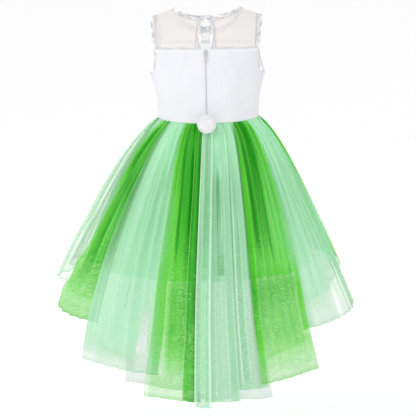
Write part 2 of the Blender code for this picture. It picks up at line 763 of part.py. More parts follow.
def build_zip(collection, helpers, tape, metal):
    """The tape behind the centre back gap, the slider with its bridge, and the pull tab."""
    heights = spread(WAIST_Z + TAPE_ENDS_IN[0], YOKE_Z - TAPE_ENDS_IN[1], TAPE_ROWS)
    rows = [[(x, tape_y(z), z) for x in (-TAPE_HALF, 0.0, TAPE_HALF)] for z in heights]
    cloth("zip_tape", rows, TAPE_WALL, tape, collection)

    axis = pull_axis()
    face = slider_face_y() + SLIDER_SIZE[1]
    slider_mesh = bpy.data.meshes.new("zip_slider")
    shape = bmesh.new()
    bmesh.ops.create_cube(shape, size=1)
    bmesh.ops.scale(shape, vec=SLIDER_SIZE, verts=shape.verts)
    bmesh.ops.translate(shape, vec=(0, face - SLIDER_SIZE[1] / 2, axis.z), verts=shape.verts)
    shape.to_mesh(slider_mesh)
    shape.free()
    slider = place("zip_slider", slider_mesh, metal, collection)

    # The bridge is an arch in the YZ plane with a window that the pull's bar turns in
    outer = [(-BRIDGE_HALF, -BRIDGE_SUNK)]
    outer += arch_points(BRIDGE_HALF, BRIDGE_RISE)[1:-1]
    outer += [(BRIDGE_HALF, -BRIDGE_SUNK)]
    inner = arch_points(BRIDGE_HALF - BRIDGE_BAR, BRIDGE_RISE - BRIDGE_BAR)
    arch = outline("bridge_outline", [outer + inner[::-1]], BRIDGE_WIDTH / 2)
    arch_object = bpy.data.objects.new("zip_bridge", arch)
    helpers.objects.link(arch_object)
    arch_object.matrix_world = Matrix(((0, 0, 1, 0), (0, 1, 0, face), (-1, 0, 0, axis.z), (0, 0, 0, 1)))
    bridge = as_mesh(arch_object)
    bridge.hide_render = True
    bridge.display_type = "WIRE"
    join = slider.modifiers.new("bridge", "BOOLEAN")
    join.operation = "UNION"
    join.object = bridge
    join.solver = "EXACT"

    # The pull tab hangs from its bar: narrow at the eye, wide and round at the foot
    pull = place("zip_pull", outline("zip_pull", pull_loops(), PULL_WALL / 2), metal, collection)
    pull.matrix_world = Matrix(((1, 0, 0, axis.x), (0, 0, -1, axis.y), (0, 1, 0, axis.z), (0, 0, 0, 1)))


def skirt_behind(drop):
    """Points of the outer tulle's outer face behind the waist at a drop, as x and y."""
    points = []
    for waist in np.arange(-POMPOM_WAIST_HALF, POMPOM_WAIST_HALF + 1):
        panel, share = panel_at(waist)
        shift = gather_wave(waist, drop) + lap_shift(panel, share, drop)
        point = skirt_point(waist, drop, shift=shift)
        points.append((point.x, point.y + TULLE_WALL / 2))
    return points


def dress_back_y(x, z, skirt):
    """How far the dress reaches behind near x at height z: the bodice, or the skirt between its rows."""
    drop = WAIST_Z - WAIST_DIP - WAIST_SEAM - z
    if drop < 0:
        return torso_depth(z, False) + BODICE_WALL / 2
    reaches = [max(y for px, y in row if abs(px - x) < POMPOM_SIDE_REACH) for row in skirt]
    return float(np.interp(drop, ROW_DROPS[: len(skirt)], reaches))


def build_pompom(collection, fur):
    """A round pompom whose locks are four-sided points on a cube-sphere, pressed on the skirt."""
    mesh = bpy.data.meshes.new("pompom")
    shape = bmesh.new()
    bmesh.ops.create_cube(shape, size=2)
    bmesh.ops.subdivide_edges(shape, edges=shape.edges, cuts=POMPOM_LOCKS_PER_SIDE - 1, use_grid_fill=True)
    core = POMPOM_RADIUS - LOCK_HEIGHT
    for vertex in shape.verts:
        spherical = Vector([tan(c * pi / 4) for c in vertex.co])
        vertex.co = spherical.normalized() * core
    locks = bmesh.ops.poke(shape, faces=shape.faces)
    for vertex in locks["verts"]:
        vertex.co = vertex.co.normalized() * POMPOM_RADIUS
    skirt = [skirt_behind(drop) for drop in ROW_DROPS[:3]]
    for vertex in shape.verts:
        z = vertex.co.z + POMPOM_Z
        nearest = dress_back_y(vertex.co.x, z, skirt) + POMPOM_SEAT - POMPOM_Y
        vertex.co.y = max(vertex.co.y, nearest)
    shape.to_mesh(mesh)
    shape.free()
    pompom = place("pompom", mesh, fur, collection)
    pompom.location = (0, POMPOM_Y, POMPOM_Z)


# Skirt


def lap_shift(panel, share, drop):
    """How far a panel lifts over or under its neighbours, share 0 at its start edge."""
    lift = panel.lap + (panel.lap_end - panel.lap) * share
    return lift * LAP_LIFT * min(drop / LAP_DROP, 1.0)


def panel_columns(first, last, drop):
    """Waist angles of a panel's columns: side by side at the seam, a column over its neighbours below."""
    inner = [column_waist(c) for c in range(first, last + 1)]
    if drop > LAP_DROP:
        return [column_waist(first - 1)] + inner + [column_waist(last + 1)]
    gap = degrees(SEAM / 2 / BACK_FLARE.waist)
    before, after = inner[0], inner[-1]
    inner[0] += (inner[1] - before) * EDGE_NUDGE
    inner[-1] -= (after - inner[-2]) * EDGE_NUDGE
    return [before + gap] + inner + [after - gap]


def build_tulle(collection, colours):
    """The outer skirt: gathered panels that lap over each other, each with its own hem."""
    first = 0
    for panel in PANELS:
        last = first + panel.gathers * COLUMNS_PER_GATHER
        count = last - first + 2
        shares = [min(max((i - 1) / (count - 2), 0), 1) for i in range(count + 1)]
        hem = [panel.drop + (panel.drop_end - panel.drop) * share for share in shares]
        levels = [[drop] * len(hem) for drop in ROW_DROPS if drop < min(hem) - LAST_ROW_LEAST] + [hem]
        rows = []
        for level in levels:
            waists = panel_columns(first, last, level[0])
            shifts = [gather_wave(w, d) + lap_shift(panel, t, d) for w, t, d in zip(waists, shares, level)]
            rows.append([skirt_point(w, d, shift=s) for w, d, s in zip(waists, level, shifts)])
        colour = GREEN if panel.name.endswith(GREEN) else MINT
        cloth(panel.name, rows, TULLE_WALL, colours[colour], collection)
        first = last


def under_inset(drop):
    """How far the under tulle lies inside the outer panels' middle surface."""
    grown = 1 - exp(-drop / UNDER_INSET_GROWTH)
    return UNDER_INSET_WAIST + UNDER_INSET_LAP * min(drop / LAP_DROP, 1) + UNDER_INSET_HEM * grown


def build_under_tulle(collection, pale):
    """The paler tulle below the outer panels, longer than some of them and shorter than others."""
    ends = [p.waist for p in UNDER_PANELS[1:]] + [UNDER_PANELS[0].waist + 360]
    gap = degrees(SEAM / BACK_FLARE.waist)
    for panel, end in zip(UNDER_PANELS, ends):
        turns = (end - panel.waist) / 360
        steps = max(UNDER_LEAST_STEPS, round(turns * UNDER_GATHERS * COLUMNS_PER_GATHER))
        rows = []
        for level in UNDER_LEVELS:
            row = []
            for share in spread(0, 1, steps + 1):
                drop = level * (panel.drop + (panel.drop_end - panel.drop) * share)
                waist = panel.waist + gap + (end - panel.waist - 2 * gap) * share
                row.append(skirt_point(waist, drop, under_inset(drop), under_wave(waist, drop)))
            rows.append(row)
        cloth(panel.name, rows, TULLE_WALL, pale, collection)


def build_lining(collection, satin):
    """The opaque underskirt, in a front and a back, hanging straighter than the tulle."""
    gap = degrees(SEAM / 2 / BACK_FLARE.waist)
    for word, first in (("back", -90.0), ("front", 90.0)):
        rows = []
        for level in LINING_LEVELS:
            drop = level * LINING_DROP
            inward = LINING_INSET_WAIST + LINING_SLOPE_LOSS * drop
            inward += LINING_INSET * smoothstep(drop / LINING_INSET_FALL)
            depth = LINING_WAVE_DEPTH * smoothstep(drop / LINING_WAVE_FALL)
            waists = spread(first + gap, first + 180 - gap, 2 * LINING_WAVES + 1)
            waves = [sin(LINING_WAVES * radians(w) + LINING_WAVE_START) for w in waists]
            rows.append([skirt_point(w, drop, inward, depth * wave) for w, wave in zip(waists, waves)])
        cloth(f"lining_{word}", rows, LINING_WALL, satin, collection)


def clear_scene():
    """Removes the startup scene's objects."""
    for obj in list(bpy.data.objects):
        bpy.data.objects.remove(obj)


def build_dress():
    """Builds every piece of the dress."""
    clear_scene()
    dress = bpy.data.collections.new("tulle_dress")
    helpers = bpy.data.collections.new("joined_shapes")
    bpy.context.scene.collection.children.link(dress)
    bpy.context.scene.collection.children.link(helpers)
    white = make_material("white_satin_knit", "F4F4F8", 0.62)
    sheer = make_material("sheer_mesh", "F6F3F0", 0.70)
    satin = make_material("satin_binding", "F1F0F5", 0.35)
    build_bodice(dress, white)
    build_yoke(dress, sheer)
    build_bindings(dress, satin)
    pearl = make_material("pearl_button", "F4F3F0", 0.25)
    build_button(dress, pearl, make_material("loop_thread", "F0F0F2", 0.6))
    metal = make_material("painted_zip_metal", "EDEEF0", 0.35, metallic=0.3)
    build_zip(dress, helpers, make_material("zip_tape", "E8E8EC", 0.8), metal)
    build_pompom(dress, make_material("white_plush", "F7F7F7", 0.9))
    green = make_material("green_tulle", "4CC63A", 0.8)
    colours = {GREEN: green, MINT: make_material("mint_tulle", "A9E8C0", 0.8)}
    build_tulle(dress, colours)
    build_under_tulle(dress, make_material("pale_tulle", "D8F0E2", 0.8))
    build_lining(dress, make_material("mint_lining", "9FDDB4", 0.5))


build_dress()
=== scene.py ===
"""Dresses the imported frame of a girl's tulle dress: net skirt, satin bindings, knit bodice, mesh yoke.

Frame: metres, +Z up, the front faces -Y, the back +Y, the wearer's left is +X. Angles round the body
start at the centre back and grow towards the wearer's right (-X). A skirt point is given by its
thread, the angle at which the thread leaves the waist, and its drop below the waist seam.
"""

import logging
import math
from dataclasses import dataclass
from enum import Enum
from typing import Any, Iterator, Optional

import bmesh
import bpy
import numpy as np
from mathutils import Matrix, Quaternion, Vector


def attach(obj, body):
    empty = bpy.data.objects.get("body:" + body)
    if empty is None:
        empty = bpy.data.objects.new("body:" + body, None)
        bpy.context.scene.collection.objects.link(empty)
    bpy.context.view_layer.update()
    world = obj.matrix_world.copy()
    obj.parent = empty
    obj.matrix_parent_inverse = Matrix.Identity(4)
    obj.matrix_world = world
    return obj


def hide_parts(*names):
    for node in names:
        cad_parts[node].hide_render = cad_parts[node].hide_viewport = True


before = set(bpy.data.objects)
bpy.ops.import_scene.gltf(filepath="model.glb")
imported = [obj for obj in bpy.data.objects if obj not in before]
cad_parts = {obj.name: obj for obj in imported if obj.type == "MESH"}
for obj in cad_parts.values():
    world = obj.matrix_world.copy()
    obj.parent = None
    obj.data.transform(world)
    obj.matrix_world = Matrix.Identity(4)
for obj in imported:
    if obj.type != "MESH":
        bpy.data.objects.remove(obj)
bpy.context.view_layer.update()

LOG = logging.getLogger("tulle_dress")
Array = np.ndarray
Spot = tuple[float, float, float]
UV_NAME = "cloth"
SEED = 20
# metres of cloth for each radian round the body, in the UV maps
ROUND = 0.1
# a point inside the chest, from which the way out is judged
CHEST = np.array([0, 0, -0.16])
# the net's soft patterns: size across and along the cloth in metres, start and detail. They are the
# wide and the narrow gathers, the moire's hills, the painted glints' dashes and columns, and the
# painted highlights on fold crests
NET_CLOUDS = (
    ((0.0070, 0.40), (0, 0), 2.0),
    ((0.0018, 0.24), (0, 0), 1.0),
    ((0.016, 0.021), (1.7, 0.4), 1.0),
    ((0.0022, 0.0030), (0, 0), 1.0),
    ((0.0060, 0.060), (5.1, 0.9), 1.0),
    ((0.0016, 0.45), (3.1, 0.7), 1.0),
)


class Side(Enum):
    """The wearer's left and right, as the sign of X."""

    LEFT = 1
    RIGHT = -1


class Shade(Enum):
    """The two colours of the outer net."""

    GREEN = "green"
    MINT = "mint"


# Small mathematics, on whole arrays


def hermite(xs: Array, ys: Array, x: Array) -> Array:
    """Smooth curve through a table: cubic pieces whose end slopes are central differences.

    Args:
        xs: rising places.
        ys: values there.
        x: where the curve is wanted.
    Returns:
        The curve's values at x.
    """
    slopes = np.gradient(ys, xs)
    x = np.clip(x, xs[0], xs[-1])
    i = np.clip(np.searchsorted(xs, x, side="right") - 1, 0, len(xs) - 2)
    width = xs[i + 1] - xs[i]
    t = (x - xs[i]) / width
    rise = ys[i] * (2 * t**3 - 3 * t**2 + 1) + ys[i + 1] * (3 * t**2 - 2 * t**3)
    return rise + width * (slopes[i] * (t**3 - 2 * t**2 + t) + slopes[i + 1] * (t**3 - t**2))


def smoothstep(low: float, high: float, x: Array) -> Array:
    """0 below low, 1 above high, and the cubic 3t^2 - 2t^3 between."""
    t = np.clip((np.asarray(x, float) - low) / (high - low), 0, 1)
    return t * t * (3 - 2 * t)


def signed_power(value: Array, power: Array) -> Array:
    """The value's size raised to a power, with its own sign."""
    return np.sign(value) * np.abs(value) ** power


def unit(vectors: Array) -> Array:
    """Vectors scaled to length 1."""
    return vectors / np.maximum(np.linalg.norm(vectors, axis=-1, keepdims=True), 1e-12)


def hump(distance: Array, width: float, power: int = 2) -> Array:
    """A smooth bump, e^-(distance / width)^power: 1 in the middle and nothing far off."""
    return np.exp(-((distance / width) ** power))


def travelled(line: Array) -> Array:
    """The way along a line of points up to each of them."""
    return np.concatenate([[0], np.cumsum(np.linalg.norm(np.diff(line, axis=0), axis=1))])


def read_along(values: Array, way: Array, places: Array) -> Array:
    """Points or vectors kept along a line, read at places of its way."""
    return np.stack([np.interp(places, way, values[:, k]) for k in range(3)], axis=-1)



def wander(x: Array, pitch: float, seed: int, terms: int = 7) -> Array:
    """An uneven wave of about unit size: a sum of sines with wavelengths spread round the pitch.

    Args:
        x: places along the wave.
        pitch: the mean wavelength, in the units of x.
        seed: picks the wavelengths and starts.
        terms: how many sines.
    Returns:
        The wave at x, between about -1 and 1.
    """
    rng = np.random.default_rng(seed)
    pitches = pitch * rng.uniform(0.55, 1.9, terms)
    starts = rng.uniform(0, 2 * math.pi, terms)
    waves = np.sin(2 * math.pi * np.asarray(x)[..., None] / pitches + starts)
    return waves.sum(axis=-1) / math.sqrt(terms / 2) / 1.6


# Meshes


def grid_faces(rows: int, columns: int, closed: bool) -> Array:
    """Quads of a grid of points, with its last column joined to the first where it is closed.

    Args:
        rows: points down.
        columns: points across.
        closed: whether the ring is closed.
    Returns:
        Each quad's four point numbers.
    """
    r, c = np.meshgrid(np.arange(rows - 1), np.arange(columns if closed else columns - 1), indexing="ij")
    d = (c + 1) % columns
    above, below = r * columns, (r + 1) * columns
    return np.stack([above + c, above + d, below + d, below + c], axis=-1).reshape(-1, 4)


def make_mesh(name: str, points: Array, faces: Array) -> bpy.types.Object:
    """A smooth-shaded mesh object from points and faces of one size.

    Args:
        name: the object's name.
        points: positions, (n, 3).
        faces: point numbers, (m, 3) or (m, 4).
    Returns:
        The object, linked to the scene.
    """
    mesh = bpy.data.meshes.new(name)
    mesh.vertices.add(len(points))
    mesh.vertices.foreach_set("co", np.ascontiguousarray(points, dtype=np.float32).ravel())
    mesh.loops.add(faces.size)
    mesh.loops.foreach_set("vertex_index", np.ascontiguousarray(faces, dtype=np.int32).ravel())
    mesh.polygons.add(len(faces))
    mesh.polygons.foreach_set("loop_start", np.arange(0, faces.size, faces.shape[1], dtype=np.int32))
    mesh.polygons.foreach_set("use_smooth", np.ones(len(faces), dtype=bool))
    mesh.update(calc_edges=True)
    obj = bpy.data.objects.new(name, mesh)
    bpy.context.scene.collection.objects.link(obj)
    return obj


def make_grid(
    name: str, points: Array, uv: Array, values: Optional[dict[str, Array]] = None, closed: bool = False
) -> bpy.types.Object:
    """A sheet from a grid of points, with a UV map in metres of cloth and any values kept on its points.

    Args:
        name: the object's name.
        points: positions, (rows, columns, 3).
        uv: places on the cut cloth, (rows, columns, 2), with one more column where it is closed.
        values: named numbers, (rows, columns).
        closed: whether the last column joins the first.
    Returns:
        The object.
    """
    rows, columns = points.shape[:2]
    faces = grid_faces(rows, columns, closed)
    obj = make_mesh(name, points.reshape(-1, 3), faces)
    across = uv.shape[1]
    r, c = np.divmod(faces[:, 0], columns)
    above, below = r * across + c, (r + 1) * across + c
    corners = np.stack([above, above + 1, below + 1, below], axis=-1)
    layer = obj.data.uv_layers.new(name=UV_NAME)
    layer.data.foreach_set("uv", uv.reshape(-1, 2)[corners.ravel()].astype(np.float32).ravel())
    for key, value in (values or {}).items():
        attribute = obj.data.attributes.new(key, "FLOAT", "POINT")
        attribute.data.foreach_set("value", np.ascontiguousarray(value, dtype=np.float32).ravel())
    return obj


def path_length(points: Array) -> float:
    """The length of a line of points."""
    return float(np.linalg.norm(np.diff(points, axis=0), axis=1).sum())

def row_widths(points: Array) -> Array:
    """The length of each row of a grid of points, as a column."""
    return np.linalg.norm(np.diff(points, axis=1), axis=-1).sum(axis=1, keepdims=True)


def repeated(faces: Array, count: int, points: int) -> Array:
    """One small shape's faces, for a count of such shapes that follow each other in the list of points."""
    return (faces[None] + points * np.arange(count)[:, None, None]).reshape(-1, faces.shape[1])


def give_wall(obj: bpy.types.Object, thickness: float) -> None:
    """Gives a sheet a wall, half to each side.

    Args:
        obj: the sheet.
        thickness: the wall's full thickness.
    """
    wall = obj.modifiers.new("wall", "SOLIDIFY")
    wall.thickness = thickness
    wall.offset = 0
    wall.use_quality_normals = True


def mend_tube(obj: bpy.types.Object, fill: bool) -> None:
    """Merges doubled points where a tube meets itself, and turns its faces outwards.

    Args:
        obj: the tube.
        fill: whether its open ends are closed too.
    """
    shape = bmesh.new()
    shape.from_mesh(obj.data)
    bmesh.ops.remove_doubles(shape, verts=shape.verts, dist=1e-6)
    if fill:
        bmesh.ops.holes_fill(shape, edges=[edge for edge in shape.edges if edge.is_boundary], sides=0)
    bmesh.ops.recalc_face_normals(shape, faces=shape.faces)
    shape.to_mesh(obj.data)
    shape.free()


# Materials


def linear(hex_colour: str) -> tuple[float, float, float, float]:
    """An sRGB hex colour as linear RGBA.

    Args:
        hex_colour: six hex digits.
    Returns:
        Red, green, blue and 1.
    """
    values = [int(hex_colour[i : i + 2], 16) / 255 for i in (0, 2, 4)]
    red, green, blue = (v / 12.92 if v <= 0.04045 else ((v + 0.055) / 1.055) ** 2.4 for v in values)
    return red, green, blue, 1.0


class Recipe:
    """A new material. One method adds any node to it, and another feeds its Principled shader."""

    def __init__(self, name: str) -> None:
        """Starts the material.

        Args:
            name: the material's name.
        """
        self.material = bpy.data.materials.new(name)
        self.material.use_nodes = True
        self.tree = self.material.node_tree

    def feed(self, node: bpy.types.Node, feeds: dict) -> None:
        """Links a node's inputs to sockets, or sets them to numbers or to hex colours made linear.

        Args:
            node: the node.
            feeds: input name or number to a socket, number or hex colour.
        """
        for key, value in feeds.items():
            if isinstance(value, bpy.types.NodeSocket):
                self.tree.links.new(value, node.inputs[key])
            else:
                node.inputs[key].default_value = linear(value) if isinstance(value, str) else value

    def add(self, kind: str, feeds: dict, out: Any = 0, **settings: Any) -> bpy.types.NodeSocket:
        """Adds one node with its settings and links.

        Args:
            kind: the shader node's type name.
            feeds: input name or number to a socket, number or hex colour.
            out: name or number of the output that is wanted.
            settings: attributes of the node.
        Returns:
            The output.
        """
        node = self.tree.nodes.new(f"ShaderNode{kind}")
        for key, value in settings.items():
            setattr(node, key, value)
        self.feed(node, feeds)
        return node.outputs[out]

    def finish(self, feeds: dict) -> bpy.types.Material:
        """Feeds the Principled shader and hands the material over."""
        self.feed(self.tree.nodes["Principled BSDF"], feeds)
        return self.material


@dataclass(frozen=True)
class NetFinish:
    """Soft tulle, a knitted nylon net. Layers of it add up: each covers a share of what lies behind.

    The eye sees streaks along the threads where gathers pile up, paler single plies near the hems,
    curling moire lines where two plies lie on each other, pale glints between them, and fold edges
    that catch the light. The net's 1 mm holes are finer than the render shows, so the moire that they
    make is drawn instead, as level lines of a soft noise 3 to 6 mm apart.
    """

    name: str
    thin: str
    full: str
    deep: str
    light: str
    cover: float = 0.37
    full_plies: float = 6.5
    deep_from: float = 7.0
    deep_plies: float = 11.0
    thin_plies: float = 2.5
    toned: str = "E1E3DF"
    streak: float = 0.36
    moire: float = 0.15
    # strengths of the painted highlights: glints in dashes, and light lines on fold crests
    glint: float = 0.50
    crest_highlight: float = 0.34
    contours: float = 70.0

    def build(self) -> bpy.types.Material:
        """Builds the material. Alpha is 1 - (1 - cover)^plies, and the colour deepens with the plies.

        Returns:
            The material.
        """
        net = Recipe(self.name)
        cloth = net.add("UVMap", {}, uv_map=UV_NAME)
        keys = ("plies", "low", "light", "tone", "edge", "folded")
        plies, low, light, tone, edge, folded = [
            net.add("Attribute", {}, "Fac", attribute_name=key) for key in keys
        ]
        clouds = []
        for size, start, detail in NET_CLOUDS:
            place = net.add("Mapping", {0: cloth, 1: (*start, 0), 3: (1 / size[0], 1 / size[1], 1)})
            clouds.append(net.add("TexNoise", {"Vector": place, "Scale": 1.0, "Detail": detail}, "Fac"))
        wide, narrow, hills, dash, columns, crest_highlight = clouds
        # gathers: streaks many times longer than wide
        both = net.add("Mix", {0: 0.22, 2: wide, 3: narrow}, data_type="FLOAT")
        spread = net.add("MapRange", {0: both, 1: 0.36, 2: 0.64, 3: -self.streak, 4: self.streak})
        spread = net.add("Math", {0: spread, 1: folded, 2: 1.0}, operation="MULTIPLY_ADD")
        # moire: the sine of a soft noise, so that its lines curl and close like contours on a map
        turns = net.add("Math", {0: hills, 1: self.contours}, operation="MULTIPLY")
        curl = net.add("Math", {0: turns}, operation="SINE")
        moire = net.add("Math", {0: curl, 1: self.moire}, operation="MULTIPLY")
        rough = net.add("Math", {0: moire, 1: low, 2: 1.0}, operation="MULTIPLY_ADD")
        piled = net.add("Math", {0: plies, 1: spread}, operation="MULTIPLY")
        layers = net.add("Math", {0: piled, 1: rough, 2: edge}, operation="MULTIPLY_ADD")
        left = net.add("Math", {0: 1 - self.cover, 1: layers}, operation="POWER")
        alpha = net.add("Math", {0: 1.0, 1: left}, operation="SUBTRACT", use_clamp=True)
        filled = net.add("MapRange", {0: layers, 1: self.thin_plies, 2: self.full_plies})
        body = net.add("Mix", {0: filled, 6: self.thin, 7: self.full}, 2, data_type="RGBA")
        deepened = net.add("MapRange", {0: layers, 1: self.deep_from, 2: self.deep_plies})
        body = net.add("Mix", {0: deepened, 6: body, 7: self.deep}, 2, data_type="RGBA")
        # glints: painted highlights, short pale dashes in narrow columns; crests: painted highlights, thin
        # light lines on fold edges
        dash = net.add("MapRange", {0: dash, 1: 0.54, 2: 0.66, 4: self.glint})
        columns = net.add("MapRange", {0: columns, 1: 0.46, 2: 0.66})
        crest_highlight = net.add("MapRange", {0: crest_highlight, 1: 0.57, 2: 0.72, 4: self.crest_highlight})
        glint = net.add("Math", {0: dash, 1: columns}, operation="MULTIPLY")
        # the share of painted highlight: the glints, the crests and the piece's light value, mixed in as the
        # light colour
        lit = net.add("Math", {0: glint, 1: low, 2: light}, operation="MULTIPLY_ADD")
        lit = net.add("Math", {0: crest_highlight, 1: folded, 2: lit}, operation="MULTIPLY_ADD", use_clamp=True)
        greyed = {0: tone, 6: body, 7: self.toned}
        greyed = net.add("Mix", greyed, 2, data_type="RGBA", blend_type="MULTIPLY")
        colour = net.add("Mix", {0: lit, 6: greyed, 7: self.light}, 2, data_type="RGBA")
        feeds = {"Base Color": colour, "Alpha": alpha, "Roughness": 0.85, "Specular IOR Level": 0.15}
        return net.finish(feeds)


@dataclass(frozen=True)
class SatinFinish:
    """Polyester satin: long floats that gleam, mottled with painted grey shade where it is turned over and
    pressed.

    The floats are far finer than the render shows, so the gleam and that shade are drawn as 6 mm soft patches
    of painted highlight and painted shade.
    """

    name: str
    bright: str
    shaded: str
    roughness: float = 0.34
    patch: tuple[float, float] = (0.018, 0.004)
    glow: float = 0.0

    def build(self) -> bpy.types.Material:
        """Builds the material: two shades mixed by stretched noise, with a fine bump.

        Returns:
            The material.
        """
        satin = Recipe(self.name)
        cloth = satin.add("UVMap", {}, uv_map=UV_NAME)
        place = satin.add("Mapping", {0: cloth, 3: (1 / self.patch[0], 1 / self.patch[1], 1)})
        noise = satin.add("TexNoise", {"Vector": place, "Scale": 1.0, "Detail": 3.0}, "Fac")
        share = satin.add("MapRange", {0: noise, 1: 0.38, 2: 0.62})
        colour = satin.add("Mix", {0: share, 6: self.bright, 7: self.shaded}, 2, data_type="RGBA")
        bump = satin.add("Bump", {"Strength": 0.5, "Distance": 0.0006, "Height": noise})
        feeds = {"Base Color": colour, "Normal": bump, "Roughness": self.roughness, "Sheen Weight": 0.2}
        return satin.finish(feeds | {"Emission Color": self.bright, "Emission Strength": self.glow})


@dataclass(frozen=True)
class KnitFinish:
    """Bonded polyester knit, matt and smooth, with a faint column pattern 1.6 mm wide."""

    name: str
    light: str
    shadow: str
    roughness: float = 0.62
    # a faint glow: painted light for what passes through the thin knit
    glow: float = 0.05

    def build(self) -> bpy.types.Material:
        """Builds the material: wale lines as a bump, and cloudy colour, greyer where the piece's shadow value
        paints shade.

        Returns:
            The material.
        """
        knit = Recipe(self.name)
        cloth = knit.add("UVMap", {}, uv_map=UV_NAME)
        place = knit.add("Mapping", {0: cloth, 3: (22, 14, 1)})
        cloud = knit.add("TexNoise", {"Vector": place, "Scale": 1.0, "Detail": 3.0}, "Fac")
        soft = knit.add("MapRange", {0: cloud, 1: 0.3, 2: 0.7, 3: -0.12, 4: 0.12})
        greyed = knit.add("Attribute", {}, "Fac", attribute_name="shadow")
        share = knit.add("Math", {0: soft, 1: greyed}, operation="ADD", use_clamp=True)
        colour = knit.add("Mix", {0: share, 6: self.light, 7: self.shadow}, 2, data_type="RGBA")
        wale = knit.add("TexWave", {"Vector": cloth, "Scale": 100.0, "Distortion": 0.3}, "Fac")
        bump = knit.add("Bump", {"Strength": 0.25, "Distance": 0.0002, "Height": wale})
        feeds = {"Base Color": colour, "Normal": bump, "Roughness": self.roughness, "Sheen Weight": 0.15}
        return knit.finish(feeds | {"Emission Color": self.light, "Emission Strength": self.glow})


@dataclass(frozen=True)
class MeshFinish:
    """Fine power mesh for the yoke, see-through, warm against white, denser where it is turned in.

    The attribute `cover` is the share that the plies of a piece cover: one ply in front, two behind.
    """

    name: str
    colour: str
    turned: str
    glow: float = 0.12

    def build(self) -> bpy.types.Material:
        """Builds the material: alpha from the cover, the doubled edges and a 2 mm weave.

        Returns:
            The material.
        """
        mesh = Recipe(self.name)
        cloth = mesh.add("UVMap", {}, uv_map=UV_NAME)
        doubled, cover = [mesh.add("Attribute", {}, "Fac", attribute_name=k) for k in ("doubled", "cover")]
        weave = {"Vector": cloth, "Scale": 1 / 0.0022, "Randomness": 0.35}
        weave = mesh.add("TexVoronoi", weave, "Distance")
        ripple = mesh.add("MapRange", {0: weave, 1: 0.0, 2: 0.7, 3: -0.025, 4: 0.025})
        base = mesh.add("MapRange", {0: doubled, 3: cover, 4: 0.88})
        alpha = mesh.add("Math", {0: base, 1: ripple}, operation="ADD")
        colour = mesh.add("Mix", {0: doubled, 6: self.colour, 7: self.turned}, 2, data_type="RGBA")
        # light that comes through the holes from the other side is a faint glow
        feeds = {"Base Color": colour, "Alpha": alpha, "Roughness": 0.7}
        return mesh.finish(feeds | {"Emission Color": self.colour, "Emission Strength": self.glow})


@dataclass(frozen=True)
class SolidFinish:
    """A hard or plain finish: enamel, pearl plastic, thread, tape or fur, with a fine uneven surface."""

    name: str
    light: str
    shadow: str
    roughness: float
    grain: float
    bump: float = 0.2
    coat: float = 0.0
    glow: float = 0.0

    def build(self) -> bpy.types.Material:
        """Builds the material: two close shades mixed by noise of the grain's size, and a bump.

        Returns:
            The material.
        """
        solid = Recipe(self.name)
        place = solid.add("TexCoord", {}, "Object")
        noise = solid.add("TexNoise", {"Vector": place, "Scale": 1 / self.grain, "Detail": 3.0}, "Fac")
        share = solid.add("MapRange", {0: noise, 1: 0.35, 2: 0.65})
        colour = solid.add("Mix", {0: share, 6: self.light, 7: self.shadow}, 2, data_type="RGBA")
        bump = solid.add("Bump", {"Strength": self.bump, "Distance": self.grain / 6, "Height": noise})
        feeds = {"Base Color": colour, "Normal": bump, "Roughness": self.roughness, "Coat Weight": self.coat}
        return solid.finish(feeds | {"Emission Color": self.light, "Emission Strength": self.glow})


class Wardrobe:
    """Every finish of the dress, built once and shared. A finish's values stand in its fields' order."""

    def __init__(self) -> None:
        """Builds every finish. The hex values are read from the photograph's lit cloth."""
        green = ("62E00C", "3AB228", "129606", "B4F090", 0.39, 6.0, 8.5, 13.0, 2.5)
        mint = ("B0EEBC", "BDFBCE", "68BA78", "F0FFF4", 0.36, 3.6, 5.6, 9.5, 1.4)
        pale = ("B0CCB8", "A8D0B6", "8FC2A2", "E8F6EC", 0.27)
        self.green = NetFinish("green_nylon_tulle", *green).build()
        looks = {"streak": 0.46, "moire": 0.09, "glint": 0.30, "crest_highlight": 0.24}
        self.mint = NetFinish("mint_nylon_tulle", *mint, **looks).build()
        self.pale = NetFinish("pale_mint_nylon_tulle", *pale, moire=0.05, glint=0.0).build()
        # light that the net scatters inwards is a faint glow of the lining
        lining = ("CEF4DA", "C2ECD0", 0.5, (0.03, 0.2), 0.36)
        self.lining = SatinFinish("mint_satin_lining", *lining).build()
        self.knit = KnitFinish("white_bonded_knit", "F1F1F6", "DCDCE3").build()
        # light comes through the white knit, so the inner side of the front is brighter
        self.knit_inside = KnitFinish("white_bonded_knit_inside", "F8F4F8", "F0EEF2", glow=0.16).build()
        self.mesh = MeshFinish("ivory_power_mesh", "E6E1DF", "C2B8B3").build()
        # the bindings' faint glow is painted light that brightens them
        self.satin = SatinFinish("white_satin_bias", "FCFCFE", "B6B6BC", glow=0.07).build()
        # spun thread is matt, with fine shades between its twists, and woven tape flat and even; the tape's
        # glow is painted light that lifts the shade in the zip's slit
        self.thread = SolidFinish("white_polyester_thread", "F4F4F8", "D2D2DA", 0.5, 0.0006).build()
        self.tape = SolidFinish("woven_zip_tape", "F4F4F8", "DADAE0", 0.75, 0.0010, glow=0.25).build()
        # baked enamel hides the cast metal under a smooth soft gloss, and moulded pearl plastic is glossier
        enamel = ("E4E2E0", "D0CDCA", 0.35, 0.0030, 0.03, 0.4)
        self.enamel = SolidFinish("grey_enamel_on_zinc", *enamel).build()
        pearl = ("F7F5F2", "E2DFE6", 0.22, 0.0030, 0.02, 0.6)
        self.pearl = SolidFinish("pearl_plastic", *pearl).build()
        # the light that wanders about inside the pile is a faint glow of its own
        self.plush = SolidFinish("white_plush_yarn", "FFFFFF", "F4F4F6", 0.9, 0.0040, glow=0.06).build()


